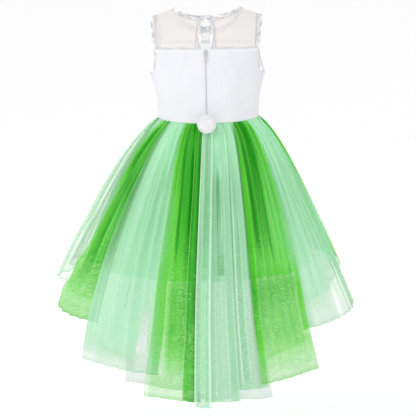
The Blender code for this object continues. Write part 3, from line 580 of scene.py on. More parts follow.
def clothe(
    obj: bpy.types.Object, material: bpy.types.Material, nodes: tuple[str, ...] = ()
) -> None:
    """Gives a piece its material and body, and hides the frame nodes that it stands for.

    Args:
        obj: the piece.
        material: its finish.
        nodes: the frame nodes that it replaces.
    """
    obj.data.materials.append(material)
    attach(obj, "dress")
    if nodes:
        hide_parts(*nodes)
    LOG.info("%s: %d faces", obj.name, len(obj.data.polygons))


# The body's form


@dataclass(frozen=True)
class Section:
    """A level of the torso: height, half width, depth behind and in front, squareness."""

    z: float
    half: float
    back: float
    front: float
    square: float


@dataclass(frozen=True)
class Torso:
    """The bodice's middle surface: superellipse sections with smooth values between them."""

    sections: tuple[Section, ...] = (
        Section(-0.2185, 0.1005, 0.0730, 0.0750, 2.35),
        Section(-0.172, 0.1040, 0.0750, 0.0800, 2.35),
        Section(-0.128, 0.1145, 0.0775, 0.0820, 2.40),
        Section(-0.100, 0.1190, 0.0770, 0.0775, 2.50),
        Section(-0.076, 0.1250, 0.0750, 0.0720, 2.60),
    )
    waist: float = -0.2185
    yoke: float = -0.076
    underarm: float = -0.128
    dip: float = 0.005

    def value(self, column: str, z: Array) -> Array:
        """One of the section columns at heights z.

        Args:
            column: a field of Section.
            z: heights.
        Returns:
            The field's values there.
        """
        xs = np.array([s.z for s in self.sections])
        ys = np.array([getattr(s, column) for s in self.sections])
        return hermite(xs, ys, np.asarray(z, float))

    def depth(self, z: Array, front: Array) -> Array:
        """Half depth at heights z, in front or behind."""
        return np.where(front, self.value("front", z), self.value("back", z))

    def point(self, angle: Array, z: Array, out: Array = 0.0) -> Array:
        """Points at angles from the centre back and heights, moved out along the level's normal.

        Args:
            angle: angles from the centre back.
            z: heights.
            out: how far outwards.
        Returns:
            The points.
        """
        half, square = self.value("half", z), self.value("square", z)
        depth = self.depth(z, np.cos(angle) < 0)
        x = -half * signed_power(np.sin(angle), 2 / square)
        y = depth * signed_power(np.cos(angle), 2 / square)
        across = signed_power(x / half, square - 1) / half
        behind = signed_power(y / depth, square - 1) / depth
        away = unit(np.stack([across, behind], axis=-1))
        return np.stack([x + away[..., 0] * out, y + away[..., 1] * out, z + 0 * x], axis=-1)

    def waist_dip(self, angle: Array) -> Array:
        """How far the waist seam dips below its side level."""
        return self.dip * np.maximum(0, np.cos(angle)) ** 2


@dataclass(frozen=True)
class YokeForm:
    """The yoke: over each x a quarter ellipse from the yoke seam up to the shoulder ridge."""

    torso: Torso = Torso()
    neck_half: float = 0.064
    neck_back: float = 0.056
    neck_front_drop: float = 0.0650
    neck_front_power: float = 1.6
    slope: float = 0.354
    shoulder: float = 0.112
    side_binding: float = 0.008
    back_binding: float = 0.0047
    front_binding: float = 0.0085
    keyhole_foot: float = 0.0098
    keyhole_head: float = 0.0022
    keyhole_curve: float = 0.6
    way_in_back: float = 0.0065
    way_in_front: float = 0.0080
    foot_binding: float = 0.0068
    tip_binding: float = 0.0088
    binding: float = 0.009

    def ridge(self, x: Array) -> Array:
        """Height of the shoulder ridge over x."""
        return (self.neck_half - np.abs(x)) * self.slope

    def depth(self, x: Array, front: bool) -> Array:
        """Half depth of the yoke at its lower seam, over x.

        Args:
            x: places across, in metres from the centre.
            front: whether it is the front.
        Returns:
            The half depths.
        """
        last = self.torso.sections[-1]
        share = np.minimum(np.abs(x) / last.half, 1.0)
        return (last.front if front else last.back) * (1 - share**last.square) ** (1 / last.square)

    def point(self, x: Array, climb: Array, front: bool) -> Array:
        """Points over x, climb from 0 at the yoke seam to a quarter turn on the ridge.

        Args:
            x: places across, in metres from the centre.
            climb: how far up.
            front: whether it is the front.
        Returns:
            The points.
        """
        y = self.depth(x, front) * np.cos(climb)
        z = self.torso.yoke + (self.ridge(x) - self.torso.yoke) * np.sin(climb)
        return np.stack([x, -y if front else y, z], axis=-1)

    def neck_climb(self, x: Array, past: float, front: bool) -> Array:
        """The climb at which the neck curve, moved out by a share of the binding, crosses x.

        Args:
            x: places across, in metres from the centre.
            past: share of the binding's width.
            front: whether it is the front.
        Returns:
            The climbs.
        """
        half = self.neck_half + past * self.side_binding
        inside = np.maximum(1 - (x / half) ** 2, 0)
        if front:
            drop = (self.neck_front_drop + past * self.front_binding) * inside ** (self.neck_front_power / 2)
            return np.arcsin(np.clip(1 - drop / (self.ridge(x) - self.torso.yoke), 0, 1))
        y = (self.neck_back + past * self.back_binding) * np.sqrt(inside)
        return np.arccos(np.clip(y / self.depth(x, False), 0, 1))

    def neck_edge(self, turn: Array, share: float) -> Array:
        """The neck binding's lines: share 0 at its free edge, 1 where it meets the yoke.

        Args:
            turn: angles round the neck, from the centre back.
            share: 0 at the binding's free edge, 1 at its sewn edge.
        Returns:
            Points of the line.
        """
        x = -(self.neck_half + share * self.side_binding) * np.sin(turn)
        front, back = [self.point(x, self.neck_climb(x, share, side), side) for side in (True, False)]
        return np.where((np.cos(turn) < 0)[..., None], front, back)

    def armhole_x(self, row: Array, front: bool) -> Array:
        """Half width of the armhole edge, row 0 at the yoke seam and 1 at the shoulder."""
        way_in = self.way_in_front if front else self.way_in_back
        return self.shoulder - way_in * (1 - row) ** 1.5

    def arm_binding(self, row: Array) -> Array:
        """Width of the armhole binding, row 0 at the yoke seam and 1 at the shoulder."""
        return self.foot_binding + (self.tip_binding - self.foot_binding) * row

    def armhole_above(self, row: Array, share: float, front: bool) -> Array:
        """Armhole binding over the yoke, on the left side.

        Args:
            row: 0 at the yoke seam, 1 at the shoulder.
            share: 0 at the binding's free edge, 1 at its sewn edge.
            front: whether it is the front.
        Returns:
            Points of the line.
        """
        x = self.armhole_x(row, front) - share * self.arm_binding(row)
        return self.point(x, row * math.pi / 2, front)

    def armhole_below(self, turn: Array, share: float, front: bool) -> tuple[Array, Array]:
        """Depth and height of the armhole's lines below the yoke seam, turn from 0 to a quarter.

        Args:
            turn: 0 at the yoke seam, a quarter turn under the arm.
            share: 0 at the binding's free edge, 1 at its sewn edge.
            front: whether it is the front.
        Returns:
            Depths and heights.
        """
        x = self.armhole_x(np.array(0.0), front) - share * self.foot_binding
        drop = self.torso.yoke - self.torso.underarm + share * self.binding
        y = self.depth(x, front) * np.maximum(np.cos(turn), 0) ** 0.75
        return y, self.torso.yoke - drop * np.sin(turn)

    def on_torso(self, y: Array, z: Array, front: bool) -> Array:
        """The bodice's middle surface at depth y from the side seam, on the left side.

        Args:
            y: depths from the side seam.
            z: heights.
            front: whether it is the front.
        Returns:
            The points.
        """
        square = self.torso.value("square", z)
        depth = self.torso.depth(z, np.array(front))
        x = self.torso.value("half", z) * np.maximum(1 - (y / depth) ** square, 0) ** (1 / square)
        return np.stack([x, -y if front else y, z], axis=-1)

    def armhole_ring(self, share: float, steps: int = 44) -> Array:
        """The whole armhole line on the left side: down the back, under the arm and up the front.

        Args:
            share: 0 at the binding's free edge, 1 at its sewn edge.
            steps: points on each of the four parts.
        Returns:
            Points of the ring.
        """
        rows = np.linspace(1, 0, steps)
        turns = np.linspace(0, math.pi / 2, steps)
        back_y, back_z = self.armhole_below(turns[1:], share, False)
        front_y, front_z = self.armhole_below(turns[::-1][1:], share, True)
        return np.concatenate(
            [
                self.armhole_above(rows, share, False),
                self.on_torso(back_y, back_z, False),
                self.on_torso(front_y, front_z, True),
                self.armhole_above(rows[::-1][1:-1], share, True),
            ]
        )

    def keyhole(self, row: Array) -> Array:
        """Half width of the keyhole at a yoke row."""
        return self.keyhole_head + (self.keyhole_foot - self.keyhole_head) * (1 - row) ** self.keyhole_curve


def mirrored(points: Array, side: Side) -> Array:
    """Points made for the left side, for either side."""
    return points * np.array([side.value, 1, 1])


# The skirt's form


@dataclass(frozen=True)
class Flare:
    """How one side of the skirt widens: waist half size, puff, slope and how the slope eases off."""

    waist: float
    puff: float
    slope: float
    ease: float
    puff_by: float = 0.028

    def at(self, drop: Array) -> Array:
        """Half size at a drop: waist + puff * (1 - e^(-drop / puff_by)) + slope * drop - ease * drop^2."""
        puffed = self.puff * (1 - np.exp(-drop / self.puff_by))
        return self.waist + puffed + self.slope * drop - self.ease * drop**2


@dataclass(frozen=True)
class Patch:
    """A part of a panel with more or fewer plies: shares across, drops down, and how many plies more.

    The lower edge runs from `bottom` at the left share to `end`, where it differs, at the right one.
    `crease` is how much its two sides catch the light, as folded edges do, and `slant` the share by
    which the patch moves sideways for each metre down.
    """

    left: float
    right: float
    top: float
    bottom: float
    plies: float
    soft: float = 0.03
    crease: float = 0.0
    crease_half: float = 0.0010
    foot_soft: float = 0.0025
    slant: float = 0.0
    end: Optional[float] = None

    def down(self, share: Array, drop: Array) -> Array:
        """1 between the top and the lower edge, and 0 outside.

        Args:
            share: places across the panel, 0 to 1.
            drop: drops below the waist seam.
        Returns:
            The shares.
        """
        end = self.bottom if self.end is None else self.end
        inside = np.clip((share - self.left) / (self.right - self.left), 0, 1)
        low = self.bottom + (end - self.bottom) * inside
        begun = smoothstep(self.top - 0.02, self.top + 0.03, drop)
        return begun * (1 - smoothstep(low - self.foot_soft, low + self.foot_soft, drop))

    def over(self, share: Array, drop: Array) -> Array:
        """The patch's plies at places of the panel, with soft sides.

        Args:
            share: places across the panel, 0 to 1.
            drop: drops below the waist seam.
        Returns:
            Plies more or fewer.
        """
        share = share - self.slant * drop
        across = smoothstep(self.left - self.soft, self.left + self.soft, share)
        across = across * (1 - smoothstep(self.right - self.soft, self.right + self.soft, share))
        return self.plies * across * self.down(share, drop)

    def creases(self, share: Array, drop: Array, width: Array) -> Array:
        """The light on both sides of the patch.

        Args:
            share: places across the panel, 0 to 1.
            drop: drops below the waist seam.
            width: the panel's width in each row.
        Returns:
            Shares of the net's lightest colour.
        """
        share = share - self.slant * drop
        lines = [hump((share - side) * width, self.crease_half) for side in (self.left, self.right)]
        return self.crease * sum(lines) * self.down(share, drop)


@dataclass(frozen=True)
class Panel:
    """An outer panel: start angles at waist and hem, hem drops, laps, swell, gathers, plies and looks.

    `lean` is how many columns its start edge swings over between waist and hem, gone again at the
    drop `upright`, and `tuck` how many columns it runs on below its right neighbour. `fade` and
    `fade_end` are the widths in metres over which fewer plies reach each edge; `tone` greys the net,
    and `glints` is how much of the moire's glints and of the streaks it shows.
    """

    name: str
    waist: float
    hem: float
    drop: float
    drop_end: float
    lap: float
    lap_end: float
    out: float
    gathers: int
    plies: float = 2.0
    lean: float = 0.0
    upright: float = 0.60
    tuck: float = 1.0
    patches: tuple[Patch, ...] = ()
    fade: float = 0.0
    fade_end: float = 0.0
    tone: float = 0.0
    glints: float = 1.0

    @property
    def shade(self) -> Shade:
        """The panel's colour, which its name ends with."""
        return Shade.GREEN if self.name.endswith("green") else Shade.MINT

    def edge_shift(self, drop: Array) -> Array:
        """Columns by which the start edge lies past its own thread at a drop."""
        swung = smoothstep(0.015, 0.15, drop) * (1 - smoothstep(self.upright - 0.16, self.upright, drop))
        return self.lean * swung


@dataclass(frozen=True)
class UnderPanel:
    """An under panel: start angle at the waist, hem drops at both edges and plies."""

    name: str
    waist: float
    drop: float
    drop_end: float
    plies: float = 1.3


# The outer panels in order round the waist. A panel's values by position are its name, start angle at
# waist and hem, hem drop at both edges, lap at both edges, swell, gathers, plies, lean, upright and
# tuck, and then its patches. A patch's are left, right, top, bottom, plies, soft, crease and the
# crease's half width. A plies value below 0 takes plies away.
PANELS = (
    Panel(
        "tulle_left_side_mint", -104.0, -106.0, 0.33, 0.334, 1, -1, 0.021, 4, 0.5,
        tuck=3.0,
        tone=0.2,
        glints=0.0,
    ),
    Panel(
        "tulle_back_left_green", -61.0, -84.5, 0.386, 0.381, 1, -1, 0.0, 4, 1.35, 8.0, 0.4, 2.6,
        (
            Patch(-0.2, 0.16, 0.26, 0.4, -0.3),
            Patch(-0.2, 1.1, 0.24, 0.4, 0.8, foot_soft=0.02),
            Patch(0.3, 0.52, 0.03, 0.24, 2.2, 0.12, foot_soft=0.05, slant=-0.3, end=0.3),
            Patch(0.55, 0.8, 0.1, 0.338, 0.6),
            Patch(0.8, 1.1, 0.1, 0.332, 1.4, end=0.325),
            Patch(0.7, 1.1, -0.1, 0.06, -1.2, 0.3, foot_soft=0.05),
            Patch(-0.2, 1.1, -0.1, 0.1, -1.4, 0.1, foot_soft=0.06),
            Patch(0.94, 1.1, 0.02, 0.1, 3.0, 0.05),
            Patch(0.985, 1.1, 0.18, 0.375, 3.5, 0.01),
        ),
        fade=0.034,
    ),
    Panel(
        "tulle_back_left_mint", -44.0, -49.0, 0.453, 0.463, 1, -1, 0.0, 5, 3.3, 1.0, 0.46, 2.5,
        (
            Patch(0.1, 0.32, 0.03, 0.4, -0.5, 0.02, 0.5),
            Patch(0.56, 0.6, 0.05, 0.36, 2.2, 0.025, 0.2, foot_soft=0.04, slant=-0.3),
            Patch(0.3, 0.33, 0.14, 0.42, 1.8, 0.02, 0.3, foot_soft=0.03, slant=-0.25),
            Patch(0.7, 0.73, 0.02, 0.24, 2.4, 0.02, foot_soft=0.05, slant=0.2),
            Patch(0.0, 0.3, 0.2, 0.408, 0.6, end=0.414),
            Patch(0.3, 0.7, 0.16, 0.404, 0.8, 0.06, end=0.398),
            Patch(0.86, 1.1, 0.16, 0.44, 1.0, 0.04),
            Patch(-0.2, 0.22, 0.424, 0.48, -3.0),
            Patch(0.22, 0.48, 0.432, 0.48, -2.9),
            Patch(0.48, 0.7, 0.434, 0.48, -2.8),
            Patch(0.7, 0.86, 0.402, 0.48, -2.8),
            Patch(0.7, 0.8, 0.335, 0.425, -2.9, 0.01),
        ),
        fade=0.044,
        tone=0.55,
    ),
    Panel(
        "tulle_back_centre_green", -21.2, -21.2, 0.5, 0.509, 1, -1, 0.0, 4, 2.2, 2.2, 0.52, 1.0,
        (
            Patch(0.0, 0.09, 0.1, 0.52, -0.6, 0.02, 0.4),
            Patch(0.34, 0.7, 0.05, 0.22, 2.0, 0.06, foot_soft=0.03, end=0.28),
            Patch(0.32, 0.38, 0.02, 0.2, 8.0, 0.04, foot_soft=0.04, end=0.24),
            Patch(0.6, 0.68, 0.04, 0.2, 6.0, 0.04, foot_soft=0.04, end=0.24),
            Patch(0.675, 1.1, 0.03, 0.52, 3.4, 0.01, 0.7, 0.0008),
            Patch(0.93, 1.1, 0.06, 0.4, 3.0, 0.012, foot_soft=0.04),
            Patch(0.675, 1.1, 0.36, 0.52, -1.2, 0.01),
            Patch(-0.2, 0.34, 0.12, 0.458, -1.2, 0.05, foot_soft=0.003),
            Patch(0.3, 0.7, 0.288, 0.43, 1.2, 0.05, foot_soft=0.03),
            Patch(-0.2, 0.7, 0.4, 0.52, -0.5, foot_soft=0.001),
            Patch(-0.2, 0.7, 0.446, 0.52, -0.7, foot_soft=0.001),
            Patch(-0.2, 0.7, 0.486, 0.52, -0.5, foot_soft=0.001),
        ),
        fade=0.026,
    ),
    Panel(
        "tulle_back_centre_mint_long", -2.0, -2.8, 0.516, 0.518, 1, 1, 0.0, 1, 2.7, -0.4, 0.7, 1.0,
        (
            Patch(0.04, 0.95, 0.02, 0.53, 0.0, 0.03, 1.0, 0.0019),
            Patch(0.3, 0.62, 0.02, 0.53, 0.0, 0.03, 0.35),
            Patch(0.2, 0.6, 0.496, 0.53, -2.2),
            Patch(0.88, 0.96, 0.06, 0.53, 1.6, 0.02),
        ),
        tone=0.1,
    ),
    Panel(
        "tulle_back_centre_mint", 3.0, 0.6, 0.508, 0.507, -1, 1, 0.0, 2, 3.2, -0.4, 0.7, 1.0,
        (
            Patch(0.4, 0.7, 0.08, 0.279, 4.6, 0.07, foot_soft=0.001),
            Patch(0.2, 0.26, 0.04, 0.16, 2.5, 0.04, foot_soft=0.03, slant=0.45, end=0.22),
            Patch(0.8, 0.84, 0.05, 0.26, 2.4, 0.03, 0.2, foot_soft=0.03, slant=-0.35, end=0.28),
            Patch(-0.1, 0.36, 0.28, 0.52, 0.8, 0.02, 0.3),
            Patch(0.36, 0.54, 0.28, 0.46, -1.1, 0.02, foot_soft=0.01),
            Patch(0.54, 0.72, 0.486, 0.52, -3.0, 0.01, foot_soft=0.001),
            Patch(0.72, 0.97, 0.3, 0.52, 0.6, 0.01, 0.5),
        ),
        tone=0.85,
    ),
    Panel(
        "tulle_back_centre_mint_right", 14.0, 10.4, 0.489, 0.487, -1, -1, 0.0, 2, 3.2, -0.6, 0.7, 1.0,
        (
            Patch(0.04, 0.3, 0.1, 0.481, 0.8, 0.02, 0.4, foot_soft=0.001, end=0.473),
            Patch(0.3, 0.54, 0.16, 0.476, 2.6, 0.02, 0.4, foot_soft=0.001, end=0.47),
            Patch(0.58, 1.1, 0.3, 0.5, -1.4, 0.06),
        ),
        tone=0.85,
    ),
    Panel(
        "tulle_back_right_green", 26.0, 20.0, 0.48, 0.466, 1, 1, 0.0, 5, 2.3, -0.2, 0.7, 1.0,
        (
            Patch(-0.2, 0.56, 0.04, 0.22, 1.4, 0.06, foot_soft=0.05, end=0.25),
            Patch(-0.2, 1.2, 0.27, 0.41, 0.8, foot_soft=0.03),
            Patch(-0.2, 1.2, 0.284, 0.335, 1.0, foot_soft=0.03, end=0.325),
            Patch(0.86, 1.2, 0.18, 0.4, -1.0, 0.05, foot_soft=0.006),
            Patch(0.18, 0.24, 0.02, 0.2, 6.0, 0.04, foot_soft=0.04, end=0.24),
            Patch(0.43, 0.5, 0.0, 0.22, 8.0, 0.04, foot_soft=0.04, end=0.25),
            Patch(0.62, 0.67, 0.02, 0.15, 3.0, 0.03, foot_soft=0.03, end=0.18),
            Patch(-0.2, 0.06, 0.2, 0.38, 1.4, 0.03, foot_soft=0.06),
            Patch(-0.2, 1.2, 0.41, 0.5, -0.6, foot_soft=0.02),
            Patch(-0.2, 1.2, 0.452, 0.5, -0.8, foot_soft=0.001),
            Patch(0.9, 0.98, 0.2, 0.5, 0.0, 0.02, 0.3),
        ),
        fade_end=0.03,
    ),
    Panel(
        "tulle_right_side_mint", 48.0, 40.4, 0.393, 0.385, -1, -1, 0.004, 8, 3.0, 1.4, 0.42, 1.0,
        (
            Patch(-0.2, 0.11, 0.3, 0.42, 0.4, 0.01),
            Patch(0.11, 0.34, 0.345, 0.42, -1.8),
            Patch(0.34, 0.5, 0.325, 0.42, -1.8),
            Patch(0.46, 1.1, 0.285, 0.42, -2.2, 0.08, foot_soft=0.01),
            Patch(0.0, 1.1, 0.16, 0.355, 0.4, end=0.295),
            Patch(0.3, 0.34, 0.04, 0.3, 1.6, 0.02, 0.3, foot_soft=0.04, slant=-0.3),
            Patch(0.62, 0.66, 0.08, 0.26, 1.4, 0.02, 0.2, foot_soft=0.04, slant=-0.45),
        ),
        tone=0.45,
    ),
    Panel(
        "tulle_front_right_green", 88.0, 88.0, 0.31, 0.3, 1, -1, 0.006, 5,
        patches=(Patch(-0.3, 0.4, -0.1, 0.33, -1.9, 0.14),),
        fade=0.03,
    ),
    Panel("tulle_front_right_mint", 122.0, 121.0, 0.307, 0.302, 1, -1, 0.004, 5, fade=0.022),
    Panel("tulle_front_centre_green", 156.0, 155.0, 0.298, 0.3, 1, -1, 0.008, 5, 2.3, fade=0.022),
    Panel("tulle_front_left_mint", 190.0, 190.0, 0.306, 0.303, 1, -1, 0.004, 5, fade=0.022, tone=0.3),
    Panel(
        "tulle_front_left_green", 224.0, 222.0, 0.3, 0.308, 1, -1, 0.008, 5,
        patches=(Patch(0.66, 1.3, 0.0, 0.33, -2.4, 0.08), Patch(0.8, 1.3, 0.0, 0.33, -2.6, 0.08)),
        fade=0.022,
    ),
)
UNDER_PANELS = (
    UnderPanel("under_tulle_left_side", -103.0, 0.3, 0.306, 0.9),
    UnderPanel("under_tulle_back_left", -62.0, 0.345, 0.352, 0.35),
    UnderPanel("under_tulle_back_left_long", -44.0, 0.425, 0.44, 0.35),
    UnderPanel("under_tulle_back_centre_left", -29.5, 0.484, 0.492, 1.1),
    UnderPanel("under_tulle_back_centre", -3.0, 0.506, 0.51, 1.2),
    UnderPanel("under_tulle_back_right", 29.0, 0.44, 0.412, 0.35),
    UnderPanel("under_tulle_right_side", 50.0, 0.352, 0.288, 0.5),
    UnderPanel("under_tulle_front_right", 122.0, 0.285, 0.285),
    UnderPanel("under_tulle_front_left", 190.0, 0.285, 0.294),
)


@dataclass(frozen=True)
class SkirtForm:
    """The skirt's outer surface by thread and drop, with its gathers and laps."""

    torso: Torso = Torso()
    left: Flare = Flare(0.1005, 0.0150, 0.800, 0.750)
    right: Flare = Flare(0.1005, 0.0165, 0.526, 0.188)
    back: Flare = Flare(0.0730, 0.0140, 0.500, 0.200)
    front: Flare = Flare(0.0750, 0.0220, 0.490, 0.250)
    seam: float = 0.0009
    spread_drop: float = 0.36
    gather_waist: float = 0.0015
    gather_hem: float = 0.0062
    gather_growth: float = 0.110
    gather_settle: float = 0.35
    settle_from: float = 0.18
    settle_by: float = 0.34
    gather_drifts: tuple[tuple[float, int, float], ...] = ((0.9, 7, 1.0), (0.7, 13, 2.2))
    depth_drift: tuple[float, int, float] = (0.22, 11, 0.4)
    swell_from: float = 0.200
    swell_over: float = 0.130
    swell_most: float = 1.4
    narrow_fold: float = 0.0009
    narrow_pitch: float = 0.038
    narrow_fade: float = 0.16
    broad_fold: float = 0.0008
    broad_pitch: float = 0.085
    lap_lift: float = 0.0024
    lap_drop: float = 0.012
    under_wave_height: float = 0.0045
    under_waves: int = 18
    under_in: float = 0.0033
    under_lap: float = 0.0034
    under_clear: float = 0.0082
    under_clear_by: float = 0.090
    waist_square: float = 0.35
    square_fade: float = 0.060
    columns: int = 4

    def edges(self) -> Array:
        """The panels' start angles at the waist, closed over a full turn."""
        return np.array([p.waist for p in PANELS] + [PANELS[0].waist + 360])

    def counts(self) -> Array:
        """How many gathers lie before each panel's start."""
        return np.concatenate([[0], np.cumsum([p.gathers for p in PANELS])]).astype(float)

    def wrapped(self, waist: Array) -> Array:
        """Waist angles brought into the panels' own turn."""
        return PANELS[0].waist + np.mod(waist - PANELS[0].waist, 360)

    def hem_angle(self, waist: Array) -> Array:
        """The angle at the hem of the threads that start at these waist angles.

        Args:
            waist: the threads' angles at the waist.
        Returns:
            Angles at the hem.
        """
        inside = self.wrapped(waist)
        hems = np.array([p.hem for p in PANELS] + [PANELS[0].hem + 360])
        return np.interp(inside, self.edges(), hems) + waist - inside

    def column_waist(self, column: Array) -> Array:
        """Waist angles of gather columns counted from the first panel's start.

        Args:
            column: gather columns.
        Returns:
            Waist angles.
        """
        total = self.counts()[-1] * self.columns
        turns, inside = np.divmod(np.asarray(column, float), total)
        return np.interp(inside, self.counts() * self.columns, self.edges()) + 360 * turns

    def swell(self, waist: Array, drop: Array) -> Array:
        """How far a panel's middle stands out near the hem, nothing at its edges.

        Args:
            waist: the threads' angles at the waist.
            drop: drops below the waist seam.
        Returns:
            The swell in metres.
        """
        edges = self.edges()
        inside = self.wrapped(waist)
        index = np.clip(np.searchsorted(edges, inside, side="right") - 1, 0, len(PANELS) - 1)
        share = (inside - edges[index]) / (edges[index + 1] - edges[index])
        outs = np.array([p.out for p in PANELS])[index]
        begun = np.clip((drop - self.swell_from) / self.swell_over, 0, self.swell_most)
        return outs * np.sin(math.pi * share) * begun

    def gathers(self, waist: Array, drop: Array) -> Array:
        """Outward shift of the main gathers: a sine whose phase and depth drift round the waist.

        A drift is its size, its waves round the body and its start.

        Args:
            waist: the threads' angles at the waist.
            drop: drops below the waist seam.
        Returns:
            The shift in metres.
        """
        total = self.counts()[-1]
        count = np.interp(self.wrapped(waist), self.edges(), self.counts())
        turn = 2 * math.pi * count / total
        drifts = [size * np.sin(waves * turn + start) for size, waves, start in self.gather_drifts]
        phase = total * turn + sum(drifts)
        size, waves, start = self.depth_drift
        depth = 1 - size + size * np.sin(waves * turn + start)
        grown = 1 - np.exp(-drop / self.gather_growth)
        settled = 1 - self.gather_settle * smoothstep(self.settle_from, self.settle_by, drop)
        height = self.gather_waist + (self.gather_hem - self.gather_waist) * grown
        return height * settled * depth * np.sin(phase)

    def fine_folds(self, waist: Array, drop: Array) -> Array:
        """Smaller uneven folds: narrow near the waist, broad and shallow below, fading at the seam.

        Args:
            waist: the threads' angles at the waist.
            drop: drops below the waist seam.
        Returns:
            The shift in metres.
        """
        angle = np.radians(self.wrapped(waist))
        narrow = wander(angle, self.narrow_pitch, 3, 9) * np.exp(-drop / self.narrow_fade)
        curved = angle + 0.03 * np.sin(drop * 9)
        broad = wander(curved, self.broad_pitch, 4, 7) * smoothstep(0.03, 0.3, drop)
        return (self.narrow_fold * narrow + self.broad_fold * broad) * smoothstep(0.0, 0.02, drop)

    def under_wave(self, waist: Array, drop: Array) -> Array:
        """Outward shift of the under tulle's soft gathers.

        Args:
            waist: the threads' angles at the waist.
            drop: drops below the waist seam.
        Returns:
            The shift in metres.
        """
        turn = np.radians(waist)
        grown = 1 - np.exp(-drop / self.gather_growth)
        return self.under_wave_height * grown * np.sin(self.under_waves * turn + 0.8 * np.sin(5 * turn))

    def under_inset(self, drop: Array) -> Array:
        """How far the under tulle lies inside the outer panels' middle surface."""
        clear = self.under_clear * (1 - np.exp(-drop / self.under_clear_by))
        return self.under_in + self.under_lap * np.minimum(drop / self.lap_drop, 1) + clear

    def point(self, waist: Array, drop: Array, inward: Array = 0.0, shift: Array = 0.0) -> Array:
        """Points of the skirt, moved in from the outer surface and shifted out along the level's normal.

        The section at a drop is a superellipse whose two half sizes are the flares of that side, and
        whose squareness fades from 2 + waist_square at the waist to 2 below.

        Args:
            waist: the threads' angles at the waist.
            drop: drops below the waist seam.
            inward: how far inside the outer surface.
            shift: how far out along the level's normal.
        Returns:
            The points.
        """
        reach = drop / self.spread_drop
        share = smoothstep(0, 1, reach) * 0.5 + np.minimum(reach, 1) * 0.5
        angle = np.radians(waist + (self.hem_angle(waist) - waist) * share)
        square = 2 + self.waist_square * np.exp(-drop / self.square_fade)
        out = self.swell(waist, drop) - inward
        half = np.where(np.sin(angle) > 0, self.right.at(drop), self.left.at(drop)) + out
        deep = np.where(np.cos(angle) < 0, self.front.at(drop), self.back.at(drop)) + out
        x = -half * signed_power(np.sin(angle), 2 / square)
        y = deep * signed_power(np.cos(angle), 2 / square)
        away = unit(np.stack([x / half**2, y / deep**2], axis=-1))
        z = self.torso.waist - self.seam - self.torso.waist_dip(angle) - drop
        return np.stack([x + away[..., 0] * shift, y + away[..., 1] * shift, z], axis=-1)


# Sub-assemblies


def cut_pieces(
    part: str, front: tuple[Array, ...], back: tuple[Array, ...]
) -> Iterator[tuple[str, list[Array]]]:
    """The front and both backs of the bodice or the yoke, from the left halves of their grids.

    Args:
        part: the first word of the frame nodes.
        front: points, cloth places and values of the front's left half, mirrored here and joined.
        back: the same of the left back, mirrored here for the right one.
    Returns:
        Each piece's frame node and its grids.
    """
    flips = (np.array([-1, 1, 1]), np.array([-1, 1]), 1)
    whole = [np.concatenate([(half * flip)[:, :0:-1], half], axis=1) for half, flip in zip(front, flips)]
    yield f"{part}_front", whole
    yield f"{part}_back_left", list(back)
    yield f"{part}_back_right", [half * flip for half, flip in zip(back, flips)]


